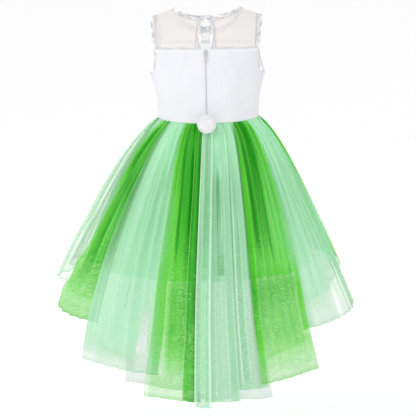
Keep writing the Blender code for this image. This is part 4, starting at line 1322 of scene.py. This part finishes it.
@dataclass(frozen=True)
class Bodice:
    """The knit bodice: one front and two backs that meet at the zip."""

    yoke: YokeForm = YokeForm()
    wall: float = 0.0016
    zip_gap: float = 0.0005
    hem_band: float = 0.0055
    hem_lift: float = 0.0005
    foot_half: float = 0.004
    foot_lift: float = 0.0004
    waver: float = 0.0004
    settled_by: float = 0.03
    binding_share: float = 0.55
    # shares of the knit's shadow colour: a base share everywhere, painted shade on the wearer's right and at
    # the sides, and how much of it the rims lose, painted lighter
    grey: float = 0.20
    painted_right_shade: float = 0.30
    painted_side_shade: float = 0.15
    rim_light: float = 0.8

    def grid(
        self, front: bool, columns: int = 40, low_rows: int = 34, high_rows: int = 26
    ) -> tuple[Array, Array]:
        """Points and cloth places of the left half, from the centre to the side or the armhole.

        Each row is a level of the torso, cut off at the depth where the armhole binding begins.

        Args:
            front: whether it is the front.
            columns: points across.
            low_rows: levels below the armhole.
            high_rows: levels beside it.
        Returns:
            The points and their places on the cloth.
        """
        torso = self.yoke.torso
        _, low = self.yoke.armhole_below(np.array(math.pi / 2), self.binding_share, front)
        turns = np.linspace(math.pi / 2, 0, high_rows)
        high_y, high_z = self.yoke.armhole_below(turns, self.binding_share, front)
        z = np.concatenate([np.linspace(torso.waist, float(low), low_rows)[:-1], high_z])
        y = np.concatenate([np.zeros(low_rows - 1), np.maximum(high_y, 0)])
        square, depth = torso.value("square", z), torso.depth(z, np.array(front))
        last = math.pi / 2 - np.arcsin(np.clip((y / depth) ** (square / 2), 0, 1))
        first = np.zeros_like(z) if front else (self.zip_gap / torso.value("half", z)) ** (square / 2)
        turn = first[:, None] + (last - first)[:, None] * np.linspace(0, 1, columns)
        angle = math.pi - turn if front else turn
        level = z[:, None] + 0 * turn
        above = level - torso.waist
        settled = smoothstep(0, self.settled_by, above)
        lift = self.hem_lift * hump(torso.yoke - level, self.hem_band, 4)
        lift = lift + self.foot_lift * hump(above, self.foot_half)
        lift = lift + self.waver * wander(level + 0.3 * turn, 0.05, 8 + front) * settled
        points = torso.point(angle, level, lift)
        points[..., 0] = np.abs(points[..., 0])
        points[..., 2] -= torso.waist_dip(angle) * (1 - settled)
        return points, np.stack([turn * ROUND, level], axis=-1)

    def build(self, finishes: Wardrobe) -> None:
        """Args:
            finishes: the materials.
        """
        torso = self.yoke.torso
        for node, (points, uv) in cut_pieces("bodice", self.grid(True), self.grid(False)):
            x, z = points[..., 0], points[..., 2]
            # painted shade: more of the shadow colour on the wearer's right and at the sides, away from the
            # key lamp, and less on the rims at the yoke seam and the waist, painted lighter
            shade = self.grey + self.painted_right_shade * smoothstep(0.02, -0.12, x)
            shade = shade + self.painted_side_shade * smoothstep(0.09, 0.12, np.abs(x))
            rims = np.maximum(hump(torso.yoke - z, self.hem_band, 4), hump(z - torso.waist + 0.004, 0.006))
            obj = make_grid(f"knit_{node}", points, uv, {"shadow": shade * (1 - self.rim_light * rims)})
            give_wall(obj, self.wall)
            clothe(obj, finishes.knit, (node,))
            if node == "bodice_front":
                obj.modifiers["wall"].material_offset = 1
                obj.data.materials.append(finishes.knit_inside)


@dataclass(frozen=True)
class Yoke:
    """The see-through yoke: a front and two backs beside the keyhole."""

    form: YokeForm = YokeForm()
    tuck: float = 0.0035
    line_in: float = 0.0016
    line_half: float = 0.0011
    front_cover: float = 0.40
    back_cover: float = 0.72

    def grid(
        self, front: bool, rows: int = 34, neck: int = 30, shoulder: int = 14
    ) -> tuple[Array, Array, Array]:
        """The left half, between the keyhole or the centre, the armhole, the yoke seam and the neck.

        Each column climbs over one x, from a tuck below the seam to the neck curve or the ridge.

        Args:
            front: whether it is the front.
            rows: points up.
            neck: points across under the neck curve.
            shoulder: points across beside it.
        Returns:
            The points, their places on the cloth, and 1 where the mesh is turned in.
        """
        form = self.form
        low = -self.tuck / (form.ridge(np.array(0.0)) - form.torso.yoke)
        row = np.linspace(0, 1, rows)[:, None]
        half = form.neck_half + 0.5 * form.side_binding
        inner = 0 * row if front else form.keyhole(row) + form.binding * 0.5
        width = form.arm_binding(row)
        outer = form.armhole_x(row, front) - width * 0.5
        sweep = np.sin(np.linspace(0, math.pi / 2, neck))[None, :]
        near = inner + (half - inner) * sweep
        far = half + (outer - half) * np.linspace(0, 1, shoulder)[None, 1:]
        x = np.concatenate([near, far], axis=1)
        climb = low + row * (form.neck_climb(x, 0.5, front) - low)
        points = form.point(x, np.maximum(climb, 0), front)
        points[..., 2] += np.minimum(climb, 0) * (form.ridge(x) - form.torso.yoke)
        to_arm = outer - x - 0.5 * width
        to_key = np.full_like(x, 1.0) if front else x - inner - 0.5 * form.binding
        to_foot = points[..., 2] - form.torso.yoke
        to_neck = np.abs((form.neck_climb(x, 1.0, front) - climb) * form.neck_back)
        nearest = np.minimum(np.minimum(to_arm, to_key), np.minimum(to_foot, to_neck))
        return points, np.stack([x, ROUND * climb], axis=-1), hump(nearest - self.line_in, self.line_half)

    def build(self, finishes: Wardrobe) -> None:
        """Args:
            finishes: the materials.
        """
        for node, (points, uv, doubled) in cut_pieces("yoke", self.grid(True), self.grid(False)):
            cover = self.front_cover if node == "yoke_front" else self.back_cover
            obj = make_grid(f"mesh_{node}", points, uv, {"doubled": doubled, "cover": cover + 0 * doubled})
            clothe(obj, finishes.mesh, (node,))
            length = max(path_length(column) for column in points.swapaxes(0, 1))


@dataclass(frozen=True)
class Bindings:
    """Satin bias binding round the neck, the keyhole and both armholes, with its edge stitching."""

    form: YokeForm = YokeForm()
    thick: float = 0.0026
    crumple: float = 0.00016
    fold_pitch: float = 0.011
    width_pitch: float = 0.020
    neck_gap: float = 0.0015
    seam_share: float = 0.34
    stitch: float = 0.0024
    stitch_gap: float = 0.0011
    thread: float = 0.00022

    def build(self, finishes: Wardrobe) -> None:
        """Builds every strip and its stitches.

        Args:
            finishes: the materials.
        """
        end = self.neck_gap / self.form.neck_half
        turn = np.linspace(end, 2 * math.pi - end, 260)
        row = np.linspace(0, 1, 70)
        shares = (0.0, 1.0)
        lines = [self.form.neck_edge(turn, share) for share in shares]
        self.strip("neck_binding", lines, False, 31, finishes)
        for side in Side:
            word = side.name.lower()
            starts = [self.form.keyhole(row) + share * self.form.binding for share in shares]
            lines = [mirrored(self.keyhole_line(start, row), side) for start in starts]
            self.strip(f"keyhole_binding_{word}", lines, False, 41, finishes)
            ring = [mirrored(self.form.armhole_ring(share), side) for share in shares]
            self.strip(f"armhole_binding_{word}", ring, True, 51 + side.value, finishes)

    def keyhole_line(self, x: Array, row: Array) -> Array:
        """A line beside the keyhole, from the yoke seam to the neck binding."""
        return self.form.point(x, row * self.form.neck_climb(x, 0.9, False), False)

    def strip(self, node: str, lines: list[Array], closed: bool, seed: int, finishes: Wardrobe) -> None:
        """One strip with a line of stitches near its sewn edge.

        Args:
            node: the frame node that it replaces.
            lines: points of its free and its sewn edge.
            closed: whether it is a ring.
            seed: picks its creases.
            finishes: the materials.
        """
        edge, inner = lines
        obj, middle, normal = self.tube(f"satin_{node}", edge, inner, closed, seed)
        clothe(obj, finishes.satin, (node,))
        line = middle + (inner - edge) * self.seam_share + normal * (self.thick / 2 + 0.00005)
        clothe(self.stitches(f"stitches_{node}", line, normal), finishes.thread)

    def tube(
        self, name: str, edge: Array, inner: Array, closed: bool, seed: int
    ) -> tuple[bpy.types.Object, Array, Array]:
        """A folded strip: a flat rounded section carried along the middle of two edge lines.

        The section is centre + across * cos^0.7 + normal * thick/2 * sin^0.8, with an uneven wave of
        the thickness and of the width along the line, so that the satin looks turned over by hand.

        Args:
            name: the object's name.
            edge: points of the free edge, (n, 3).
            inner: points of the sewn edge, (n, 3).
            closed: whether the line is a ring.
            seed: picks the waves.
        Returns:
            The object, the strip's middle line and its outward normals.
        """
        middle = (edge + inner) / 2
        across = (inner - edge) / 2
        if closed:
            tangent = np.roll(middle, -1, axis=0) - np.roll(middle, 1, axis=0)
        else:
            tangent = np.gradient(middle, axis=0)
        normal = unit(np.cross(tangent, across))
        normal *= np.sign((normal * (middle - CHEST)).sum(axis=1).mean())
        way = travelled(middle)
        turn = np.linspace(0, 2 * math.pi, 17)[:-1]
        wide = signed_power(np.cos(turn), 0.7)
        high = signed_power(np.sin(turn), 0.8)
        fold = wander(way[:, None] + 0.004 * np.cos(turn), self.fold_pitch, seed) * self.crumple
        spread = 1 + wander(way, self.width_pitch, seed + 1)[:, None] * self.crumple * 30
        points = middle[:, None] + across[:, None] * (wide * spread)[..., None]
        points = points + normal[:, None] * (high * self.thick / 2 + fold * (high > 0))[..., None]
        if closed:
            points = np.concatenate([points, points[:1]])
            way = np.append(way, way[-1] + float(np.linalg.norm(middle[0] - middle[-1])))
        round_it = np.linspace(0, 4 * float(np.linalg.norm(across, axis=1).mean()), 17)
        uv = np.stack(np.broadcast_arrays(way[:, None], round_it[None, :]), axis=-1)
        obj = make_grid(name, points, uv, closed=True)
        mend_tube(obj, not closed)
        return obj, middle, normal

    def stitches(self, name: str, line: Array, normal: Array) -> bpy.types.Object:
        """A row of stitches: stretched eight-faced beads laid end to end along a line on the cloth.

        Args:
            name: the object's name.
            line: points on the cloth's face, (n, 3).
            normal: the cloth's outward normals there.
        Returns:
            The object.
        """
        way = travelled(line)
        places = np.arange(self.stitch_gap, way[-1] - self.stitch, self.stitch + self.stitch_gap)
        start, end = read_along(line, way, places), read_along(line, way, places + self.stitch)
        out = unit(read_along(normal, way, places))
        side = unit(np.cross(end - start, out)) * self.thread
        lift = out * self.thread
        centre = (start + end) / 2
        corners = np.stack([start, centre + side, centre + lift, centre - side, centre - lift, end], axis=1)
        bead = [[0, 1, 2], [0, 2, 3], [0, 3, 4], [0, 4, 1], [5, 2, 1], [5, 3, 2], [5, 4, 3], [5, 1, 4]]
        return make_mesh(name, corners.reshape(-1, 3), repeated(np.array(bead), len(places), 6))


@dataclass(frozen=True)
class Fastenings:
    """The zip's tape, teeth, slider and tab, and the button with its thread loop."""

    form: YokeForm = YokeForm()
    bodice_wall: float = 0.0016
    gap: float = 0.0004
    tape_wall: float = 0.0009
    tape_half: float = 0.006
    tooth_pitch: float = 0.0016
    tooth: Spot = (0.0013, 0.0005, 0.00032)
    tooth_in: float = 0.0002
    tooth_offset: float = 0.00035
    button_x: float = -0.0060
    shank: float = 0.0027
    reach: float = 0.0095
    thread: float = 0.00042
    twist: float = 0.0016

    def build(self, finishes: Wardrobe) -> None:
        """Builds the tape, the teeth and the loop, and gives the frame's hard pieces their finishes.

        Args:
            finishes: the materials.
        """
        torso = self.form.torso
        heights = np.linspace(torso.waist + 0.004, torso.yoke - 0.002, 60)
        middle = self.inner_face(heights) - self.tape_wall / 2
        x = np.linspace(-self.tape_half, self.tape_half, 9)
        points = np.stack(np.broadcast_arrays(x[None, :], middle[:, None], heights[:, None]), axis=-1)
        tape = make_grid("woven_zip_tape", points, points[..., [0, 2]])
        give_wall(tape, self.tape_wall)
        clothe(tape, finishes.tape, ("zip_tape",))
        clothe(self.teeth(), finishes.enamel)
        clothe(self.loop(), finishes.thread, ("neck_button_loop",))
        hard = {"zip_slider": finishes.enamel, "zip_pull": finishes.enamel, "neck_button": finishes.pearl}
        for node, material in hard.items():
            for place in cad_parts[node].material_slots:
                place.material = material

    def inner_face(self, heights: Array) -> Array:
        """The depth just inside the back's wall, at heights on the centre back."""
        return self.form.torso.depth(heights, np.array(False)) - self.bodice_wall / 2 - self.gap

    def teeth(self) -> bpy.types.Object:
        """The closed zip's teeth: blocks that lean from both sides over the middle, one above another.

        Returns:
            The object.
        """
        torso = self.form.torso
        z = np.arange(torso.waist + 0.006, torso.yoke - 0.010, self.tooth_pitch / 2)
        side = np.where(np.arange(len(z)) % 2 == 0, 1.0, -1.0)
        centre = np.stack([side * self.tooth_offset, self.inner_face(z) + self.tooth_in, z], axis=-1)
        square = ((-1, -1), (1, -1), (1, 1), (-1, 1))
        corner = np.array([(x, y, level) for level in (-1, 1) for x, y in square])
        points = centre[:, None] + corner[None] * np.array(self.tooth) / 2
        quads = np.array([[0, 3, 2, 1], [4, 5, 6, 7], [0, 1, 5, 4], [1, 2, 6, 5], [2, 3, 7, 6], [3, 0, 4, 7]])
        return make_mesh("zip_teeth", points.reshape(-1, 3), repeated(quads, len(z), 8))

    def loop(self) -> bpy.types.Object:
        """The button's loop: a two-ply twisted thread round the shank, carried along its route.

        It lies on the neck binding's outer face, from a foot beside the button round its shank. The
        radius is thread * (1 + 0.22 * cos(2 * (turn - twist))).

        Returns:
            The object.
        """
        place = np.array(-self.button_x / self.form.neck_half)
        up = unit(self.form.neck_edge(place, 0.0) - self.form.neck_edge(place, 1.0))
        out = unit(np.cross(up, np.array([1.0, 0, 0])))
        out = out if out[1] > 0 else -out
        foot = self.form.neck_edge(place, 0.5) + out * 0.0012
        bend = np.radians(np.linspace(60, 300, 25))
        leg = np.array([[self.reach, 0.0013], [self.reach * 0.6, 0.0018]])
        bow = np.stack([self.shank * np.cos(bend), self.shank * np.sin(bend)], axis=-1)
        route = np.concatenate([leg, bow, leg[::-1] * np.array([1, -1])])
        line = foot + route[:, :1] * np.array([1.0, 0, 0]) + route[:, 1:] * up + out * 0.0010
        way = travelled(line)
        at = np.linspace(0, way[-1], 90)
        line = read_along(line, way, at)
        side = unit(np.cross(unit(np.gradient(line, axis=0)), out))
        turn = np.linspace(0, 2 * math.pi, 11)[:-1]
        twist = at[:, None] / self.twist * math.pi
        radius = self.thread * (1 + 0.22 * np.cos(2 * (turn[None, :] - twist)))
        ring = np.cos(turn)[None, :, None] * side[:, None] + np.sin(turn)[None, :, None] * out
        points = line[:, None] + ring * radius[..., None]
        uv = np.stack(np.broadcast_arrays(at[:, None], np.linspace(0, 0.003, 11)[None, :]), axis=-1)
        obj = make_grid("twisted_button_loop", points, uv, closed=True)
        mend_tube(obj, True)
        return obj


@dataclass(frozen=True)
class Pompom:
    """A dense round pompom: thousands of tapered yarn ends on a core, clipped to a ball."""

    centre: Spot = (0.0, 0.0990, -0.2215)
    radius: float = 0.0192
    core: float = 0.0184
    fibres: int = 24000
    width: float = 0.00050
    root: float = 0.97
    scatter: float = 0.02
    lean: float = 0.16
    shortest: float = 0.955
    behind: tuple[tuple[float, ...], ...] = (
        (0.2026, 0.2235, 0.2364, 0.2430),
        (0.0752, 0.0755, 0.0895, 0.0945),
    )

    def pressed(self, points: Array) -> Array:
        """Keeps points clear of the bodice and of the gathers, whose depths by drop `behind` gives.

        Args:
            points: positions, changed in place.
        Returns:
            The same points.
        """
        points[..., 1] = np.maximum(points[..., 1], np.interp(-points[..., 2], *self.behind))
        return points

    def build(self, finishes: Wardrobe) -> None:
        """Builds the ball: a fibre is a bent blade of three faces from the core to the clipped surface.

        The fibres' roots lie on a spiral of equal areas, and each leans a little its own way.

        Args:
            finishes: the materials.
        """
        rng = np.random.default_rng(SEED)
        index = np.arange(self.fibres) + 0.5
        height = 1 - 2 * index / self.fibres
        turn = math.pi * (1 + math.sqrt(5)) * index
        ring = np.sqrt(1 - height**2)
        away = np.stack([ring * np.cos(turn), ring * np.sin(turn), height], axis=-1)
        away = unit(away + rng.normal(0, self.scatter, away.shape))
        lean = unit(away + rng.normal(0, self.lean, away.shape))
        side = unit(np.cross(lean, rng.normal(0, 1, away.shape)))
        clip = self.radius * rng.uniform(self.shortest, 1.0, (self.fibres, 1))
        root, tip = away * self.core * self.root, lean * clip
        bend = unit(away + lean) * (self.core + clip) / 2
        half = side * self.width / 2
        blade = np.stack([root - half, root + half, bend - half, bend + half, tip], axis=1)
        faces = repeated(np.array([[0, 1, 3], [0, 3, 2], [2, 3, 4]]), self.fibres, 5)
        up, over = np.linspace(0, math.pi, 25)[:, None], np.linspace(0, 2 * math.pi, 41)[None, :-1]
        ball = np.broadcast_arrays(np.sin(up) * np.cos(over), np.sin(up) * np.sin(over), np.cos(up))
        ball = np.stack(ball, axis=-1).reshape(-1, 3) * self.core
        ball_faces = grid_faces(25, 40, True)
        ball_faces = np.concatenate([ball_faces[:, [0, 2, 1]], ball_faces[:, [0, 3, 2]]])
        faces = np.concatenate([faces, ball_faces + blade.size // 3])
        points = np.concatenate([blade.reshape(-1, 3), ball]) + np.array(self.centre)
        obj = make_mesh("plush_pompom", self.pressed(points), faces)
        clothe(obj, finishes.plush, ("pompom",))


@dataclass(frozen=True)
class OuterSkirt:
    """Fourteen gathered net panels, each over or under its neighbour and with its own hem."""

    form: SkirtForm = SkirtForm()
    rows: int = 64
    row_growth: float = 1.15
    hem_wave: float = 0.0004
    hem_rise: float = 0.22
    hem_grey: float = 0.75
    hem_fade: float = 0.022
    hem_fullness: float = 1.08
    green_piling: float = 1.6
    mint_piling: float = 0.35
    least_plies: float = 0.25
    fade_floor: float = 0.22
    hem_line: float = 1.1
    edge_line: float = 0.6
    edge_light: float = 0.25
    line_half: float = 0.0012

    def grid(self, panel: Panel, following: Panel, first: int) -> tuple[Array, Array]:
        """A panel's waist angles and drops, from its start edge to its lap over or under the next.

        Args:
            panel: the panel.
            following: the next one round the waist.
            first: the panel's first gather column.
        Returns:
            Waist angles and drops, (rows, columns).
        """
        form = self.form
        last = first + panel.gathers * form.columns
        share = np.linspace(0, 1, max(48, panel.gathers * 26))[None, :]
        hem = panel.drop + (panel.drop_end - panel.drop) * share
        hem = hem + self.hem_wave * wander(share * 8, 4.0, 60 + first, 3)
        # a fold that stands out takes up more of its thread, so its hem hangs a little higher
        foot = form.column_waist(first - 1 + (last + panel.tuck - first + 1) * share)
        hem = hem - self.hem_rise * (form.gathers(foot, hem) + form.fine_folds(foot, hem))
        drop = np.linspace(0, 1, self.rows)[:, None] ** self.row_growth * hem
        over = smoothstep(0.0, form.lap_drop * 2, drop)
        begin = first - over + panel.edge_shift(drop)
        tucked = 1 + (panel.tuck - 1) * smoothstep(0.05, 0.2, drop)
        finish = last + over * tucked + following.edge_shift(drop)
        return form.column_waist(begin + (finish - begin) * share), drop

    def points(self, panel: Panel, waist: Array, drop: Array) -> Array:
        """A panel's points, lifted off the skirt's middle surface where it laps over a neighbour.

        Args:
            panel: the panel.
            waist: its waist angles.
            drop: its drops.
        Returns:
            The points.
        """
        form = self.form
        share = np.linspace(0, 1, drop.shape[1])[None, :]
        lap = (panel.lap + (panel.lap_end - panel.lap) * share) * form.lap_lift
        lap = lap * np.minimum(drop / form.lap_drop, 1)
        return form.point(waist, drop, 0.0, form.gathers(waist, drop) + form.fine_folds(waist, drop) + lap)

    def values(self, panel: Panel, points: Array, drop: Array) -> dict[str, Array]:
        """What the net's finish reads at each point of a panel.

        The plies are the fullness left from the gathers, which goes down as the rows widen, and what
        the patches add or take. Both edges and the hem are thin lines of more plies, and the edges and
        the patches' creases also carry painted highlights.

        Args:
            panel: the panel.
            points: its points.
            drop: its drops.
        Returns:
            Named values, (rows, columns).
        """
        share = np.linspace(0, 1, drop.shape[1])[None, :]
        widths = row_widths(points)
        piling = self.green_piling if panel.shade is Shade.GREEN else self.mint_piling
        fullness = self.hem_fullness * (widths[-1:] / np.maximum(widths, 1e-4)) ** piling
        plies = np.clip(fullness, 0, 5) * panel.plies
        plies = plies + sum(patch.over(share, drop) for patch in panel.patches)
        floor = self.fade_floor + (0.9 - self.fade_floor) * smoothstep(0.22, 0.32, drop)
        for side, width in ((share, panel.fade), (1 - share, panel.fade_end)):
            if width:
                plies = plies * (floor + (1 - floor) * smoothstep(0, width, side * widths))
        to_hem = drop[-1:] - drop
        edge = self.hem_line * hump(to_hem, self.line_half)
        # painted highlights on the patches' creases, and in the loop below along both edges
        light = sum(patch.creases(share, drop, widths) for patch in panel.patches) + 0 * drop
        for side in (share, 1 - share):
            line = hump(side * widths, self.line_half) * smoothstep(0.03, 0.08, drop)
            edge, light = edge + self.edge_line * line, light + self.edge_light * line
        lower = smoothstep(0.16, 0.30, drop)
        tone = panel.tone * smoothstep(0.02, 0.14, drop) + self.hem_grey * np.exp(-to_hem / self.hem_fade)
        return {
            "plies": np.maximum(plies + 0 * drop, self.least_plies),
            "low": lower * panel.glints,
            "folded": (1 - 0.92 * lower + 0.8 * np.exp(-drop / 0.03)) * (0.4 + 0.6 * panel.glints),
            "light": light,
            "edge": edge,
            "tone": np.clip(tone, 0, 1),
        }

    def build(self, finishes: Wardrobe) -> None:
        """Builds every panel in order round the waist.

        Args:
            finishes: the materials.
        """
        first = 0
        for panel, following in zip(PANELS, PANELS[1:] + PANELS[:1]):
            waist, drop = self.grid(panel, following, first)
            points = self.points(panel, waist, drop)
            uv = np.stack([np.radians(waist) * ROUND, drop], axis=-1)
            obj = make_grid(f"net_{panel.name}", points, uv, self.values(panel, points, drop))
            material = finishes.green if panel.shade is Shade.GREEN else finishes.mint
            clothe(obj, material, (panel.name,))
            first += panel.gathers * self.form.columns


@dataclass(frozen=True)
class UnderSkirt:
    """The pale under tulle and the opaque satin lining below the outer panels."""

    form: SkirtForm = SkirtForm()
    rows: int = 44
    row_growth: float = 1.1
    lining_drop: float = 0.300
    lining_in: float = 0.0077
    lining_clear: float = 0.0130
    lining_slope: float = 0.115
    lining_waves: int = 14
    lining_wave: float = 0.004
    hem_line: float = 0.9
    hem_half: float = 0.0014
    hem_fullness: float = 1.2

    def build(self, finishes: Wardrobe) -> None:
        """Builds the lining first and then the under tulle on it.

        Args:
            finishes: the materials.
        """
        for word, start in (("back", -90.0), ("front", 90.0)):
            points, uv = self.lining_grid(start)
            obj = make_grid(f"satin_lining_{word}", points, uv)
            clothe(obj, finishes.lining, (f"lining_{word}",))
        ends = [p.waist for p in UNDER_PANELS[1:]] + [UNDER_PANELS[0].waist + 360]
        for panel, end in zip(UNDER_PANELS, ends):
            points, uv, values = self.under_grid(panel, end)
            obj = make_grid(f"net_{panel.name}", points, uv, values)
            clothe(obj, finishes.pale, (panel.name,))

    def lining_grid(self, start: float) -> tuple[Array, Array]:
        """Half of the lining, inside the tulle and straighter, with soft waves towards its hem.

        Args:
            start: the waist angle where the half begins.
        Returns:
            The points and their places on the cloth.
        """
        drop = np.linspace(0, self.lining_drop, 40)[:, None] + np.zeros((1, 160))
        waist = np.linspace(start, start + 180, 160)[None, :] + 0 * drop
        inward = self.lining_in + self.lining_slope * drop + self.lining_clear * smoothstep(0, 0.1, drop)
        wave = np.sin(self.lining_waves * np.radians(waist) + 0.6)
        points = self.form.point(waist, drop, inward, self.lining_wave * smoothstep(0, 0.25, drop) * wave)
        return points, np.stack([np.radians(waist) * ROUND, drop], axis=-1)

    def under_grid(self, panel: UnderPanel, end: float) -> tuple[Array, Array, dict[str, Array]]:
        """An under panel, with plies that go down as its rows widen.

        Args:
            panel: the under panel.
            end: the waist angle where it ends.
        Returns:
            The points, their places on the cloth and what the net's finish reads.
        """
        share = np.linspace(0, 1, max(60, int((end - panel.waist) * 3.2)))[None, :]
        hem = panel.drop + (panel.drop_end - panel.drop) * share
        drop = np.linspace(0, 1, self.rows)[:, None] ** self.row_growth * hem
        waist = panel.waist + (end - panel.waist) * share + 0 * drop
        shift = self.form.under_wave(waist, drop) + 0.5 * self.form.fine_folds(waist + 31, drop)
        points = self.form.point(waist, drop, self.form.under_inset(drop), shift)
        widths = row_widths(points)
        plies = np.clip(self.hem_fullness * widths[-1:] / np.maximum(widths, 1e-4), 0, 6) * np.ones_like(drop)
        lower = smoothstep(0.12, 0.30, drop)
        values = {
            "plies": panel.plies * plies,
            "low": lower,
            "folded": 1 - 0.6 * lower,
            "edge": self.hem_line * hump(hem - drop, self.hem_half),
        }
        return points, np.stack([np.radians(waist) * ROUND + 3.0, drop], axis=-1), values


@dataclass(frozen=True)
class Studio:
    """A pale floor, soft light all round with a key from the wearer's left, and the photograph's camera."""

    floor: float = -0.93
    reach: float = 30.0
    floor_glow: float = 0.14
    room_light: float = 0.84
    eye: Spot = (-0.13436, 3.49742, 0.27)
    target: Spot = (0.00407, 0.0, -0.40874)
    lens: float = 151.0
    roll: float = 1.0
    dress_middle: Spot = (0.0, 0.0, -0.4)
    lamps: tuple[tuple[str, Spot, float, float], ...] = (
        ("key", (2.3, 2.6, 1.3), 1.4, 15.0),
        ("fill", (-2.6, 2.4, 0.3), 2.0, 2.0),
        ("front_fill", (0.8, -3.0, 1.0), 1.6, 9.0),
    )

    def build(self) -> None:
        """Builds the floor, the world, the square soft lamps and the camera."""
        scene = bpy.context.scene
        for old in [o for o in bpy.data.objects if o.type in ("LIGHT", "CAMERA")]:
            bpy.data.objects.remove(old)
        side = np.array([[-1, -1], [1, -1], [1, 1], [-1, 1]], float) * self.reach
        corners = np.concatenate([side, np.full((4, 1), self.floor)], axis=1)
        ground = make_mesh("studio_floor", corners, np.array([[0, 1, 2, 3]]))
        paint = {"Base Color": "FFFFFF", "Roughness": 1.0, "Emission Color": "FFFFFF"}
        paint["Emission Strength"] = self.floor_glow
        # flat white paint, which gives the eye no gloss and the dress a pale soft bounce
        ground.data.materials.append(Recipe("painted_studio_floor").finish(paint))
        world = bpy.data.worlds.new("soft_white_room")
        world.use_nodes = True
        room = world.node_tree.nodes["Background"].inputs
        room["Color"].default_value = (1, 1, 1, 1)
        room["Strength"].default_value = self.room_light
        scene.world = world
        for name, place, size, power in self.lamps:
            lamp = bpy.data.lights.new(name, "AREA")
            lamp.size = size
            lamp.energy = power
            self.aimed(name, lamp, place, self.dress_middle, 0.0)
        scene.view_settings.view_transform = "Standard"
        scene.cycles.transparent_max_bounces = 48
        camera = bpy.data.cameras.new("photo_camera")
        camera.lens = self.lens
        camera.sensor_width = 36.0
        scene.camera = self.aimed("photo_camera", camera, self.eye, self.target, -self.roll)

    @staticmethod
    def aimed(name: str, data: bpy.types.ID, place: Spot, target: Spot, roll: float) -> bpy.types.Object:
        """A lamp or a camera at its place, turned to face a target and rolled.

        Args:
            name: the object's name.
            data: the lamp or the camera.
            place: where it stands.
            target: what it faces.
            roll: degrees about its own axis.
        Returns:
            The object.
        """
        obj = bpy.data.objects.new(name, data)
        bpy.context.scene.collection.objects.link(obj)
        obj.location = place
        obj.rotation_mode = "QUATERNION"
        facing = (Vector(target) - Vector(place)).to_track_quat("-Z", "Y")
        obj.rotation_quaternion = facing @ Quaternion((0, 0, 1), math.radians(roll))
        return obj


def main() -> None:
    """Builds every sub-assembly in order."""
    logging.basicConfig(level=logging.INFO, format="%(name)s %(message)s")
    finishes = Wardrobe()
    for part in (Bodice(), Yoke(), Bindings(), Fastenings(), Pompom(), UnderSkirt(), OuterSkirt()):
        part.build(finishes)
    Studio().build()


if __name__ == "__main__":
    main()
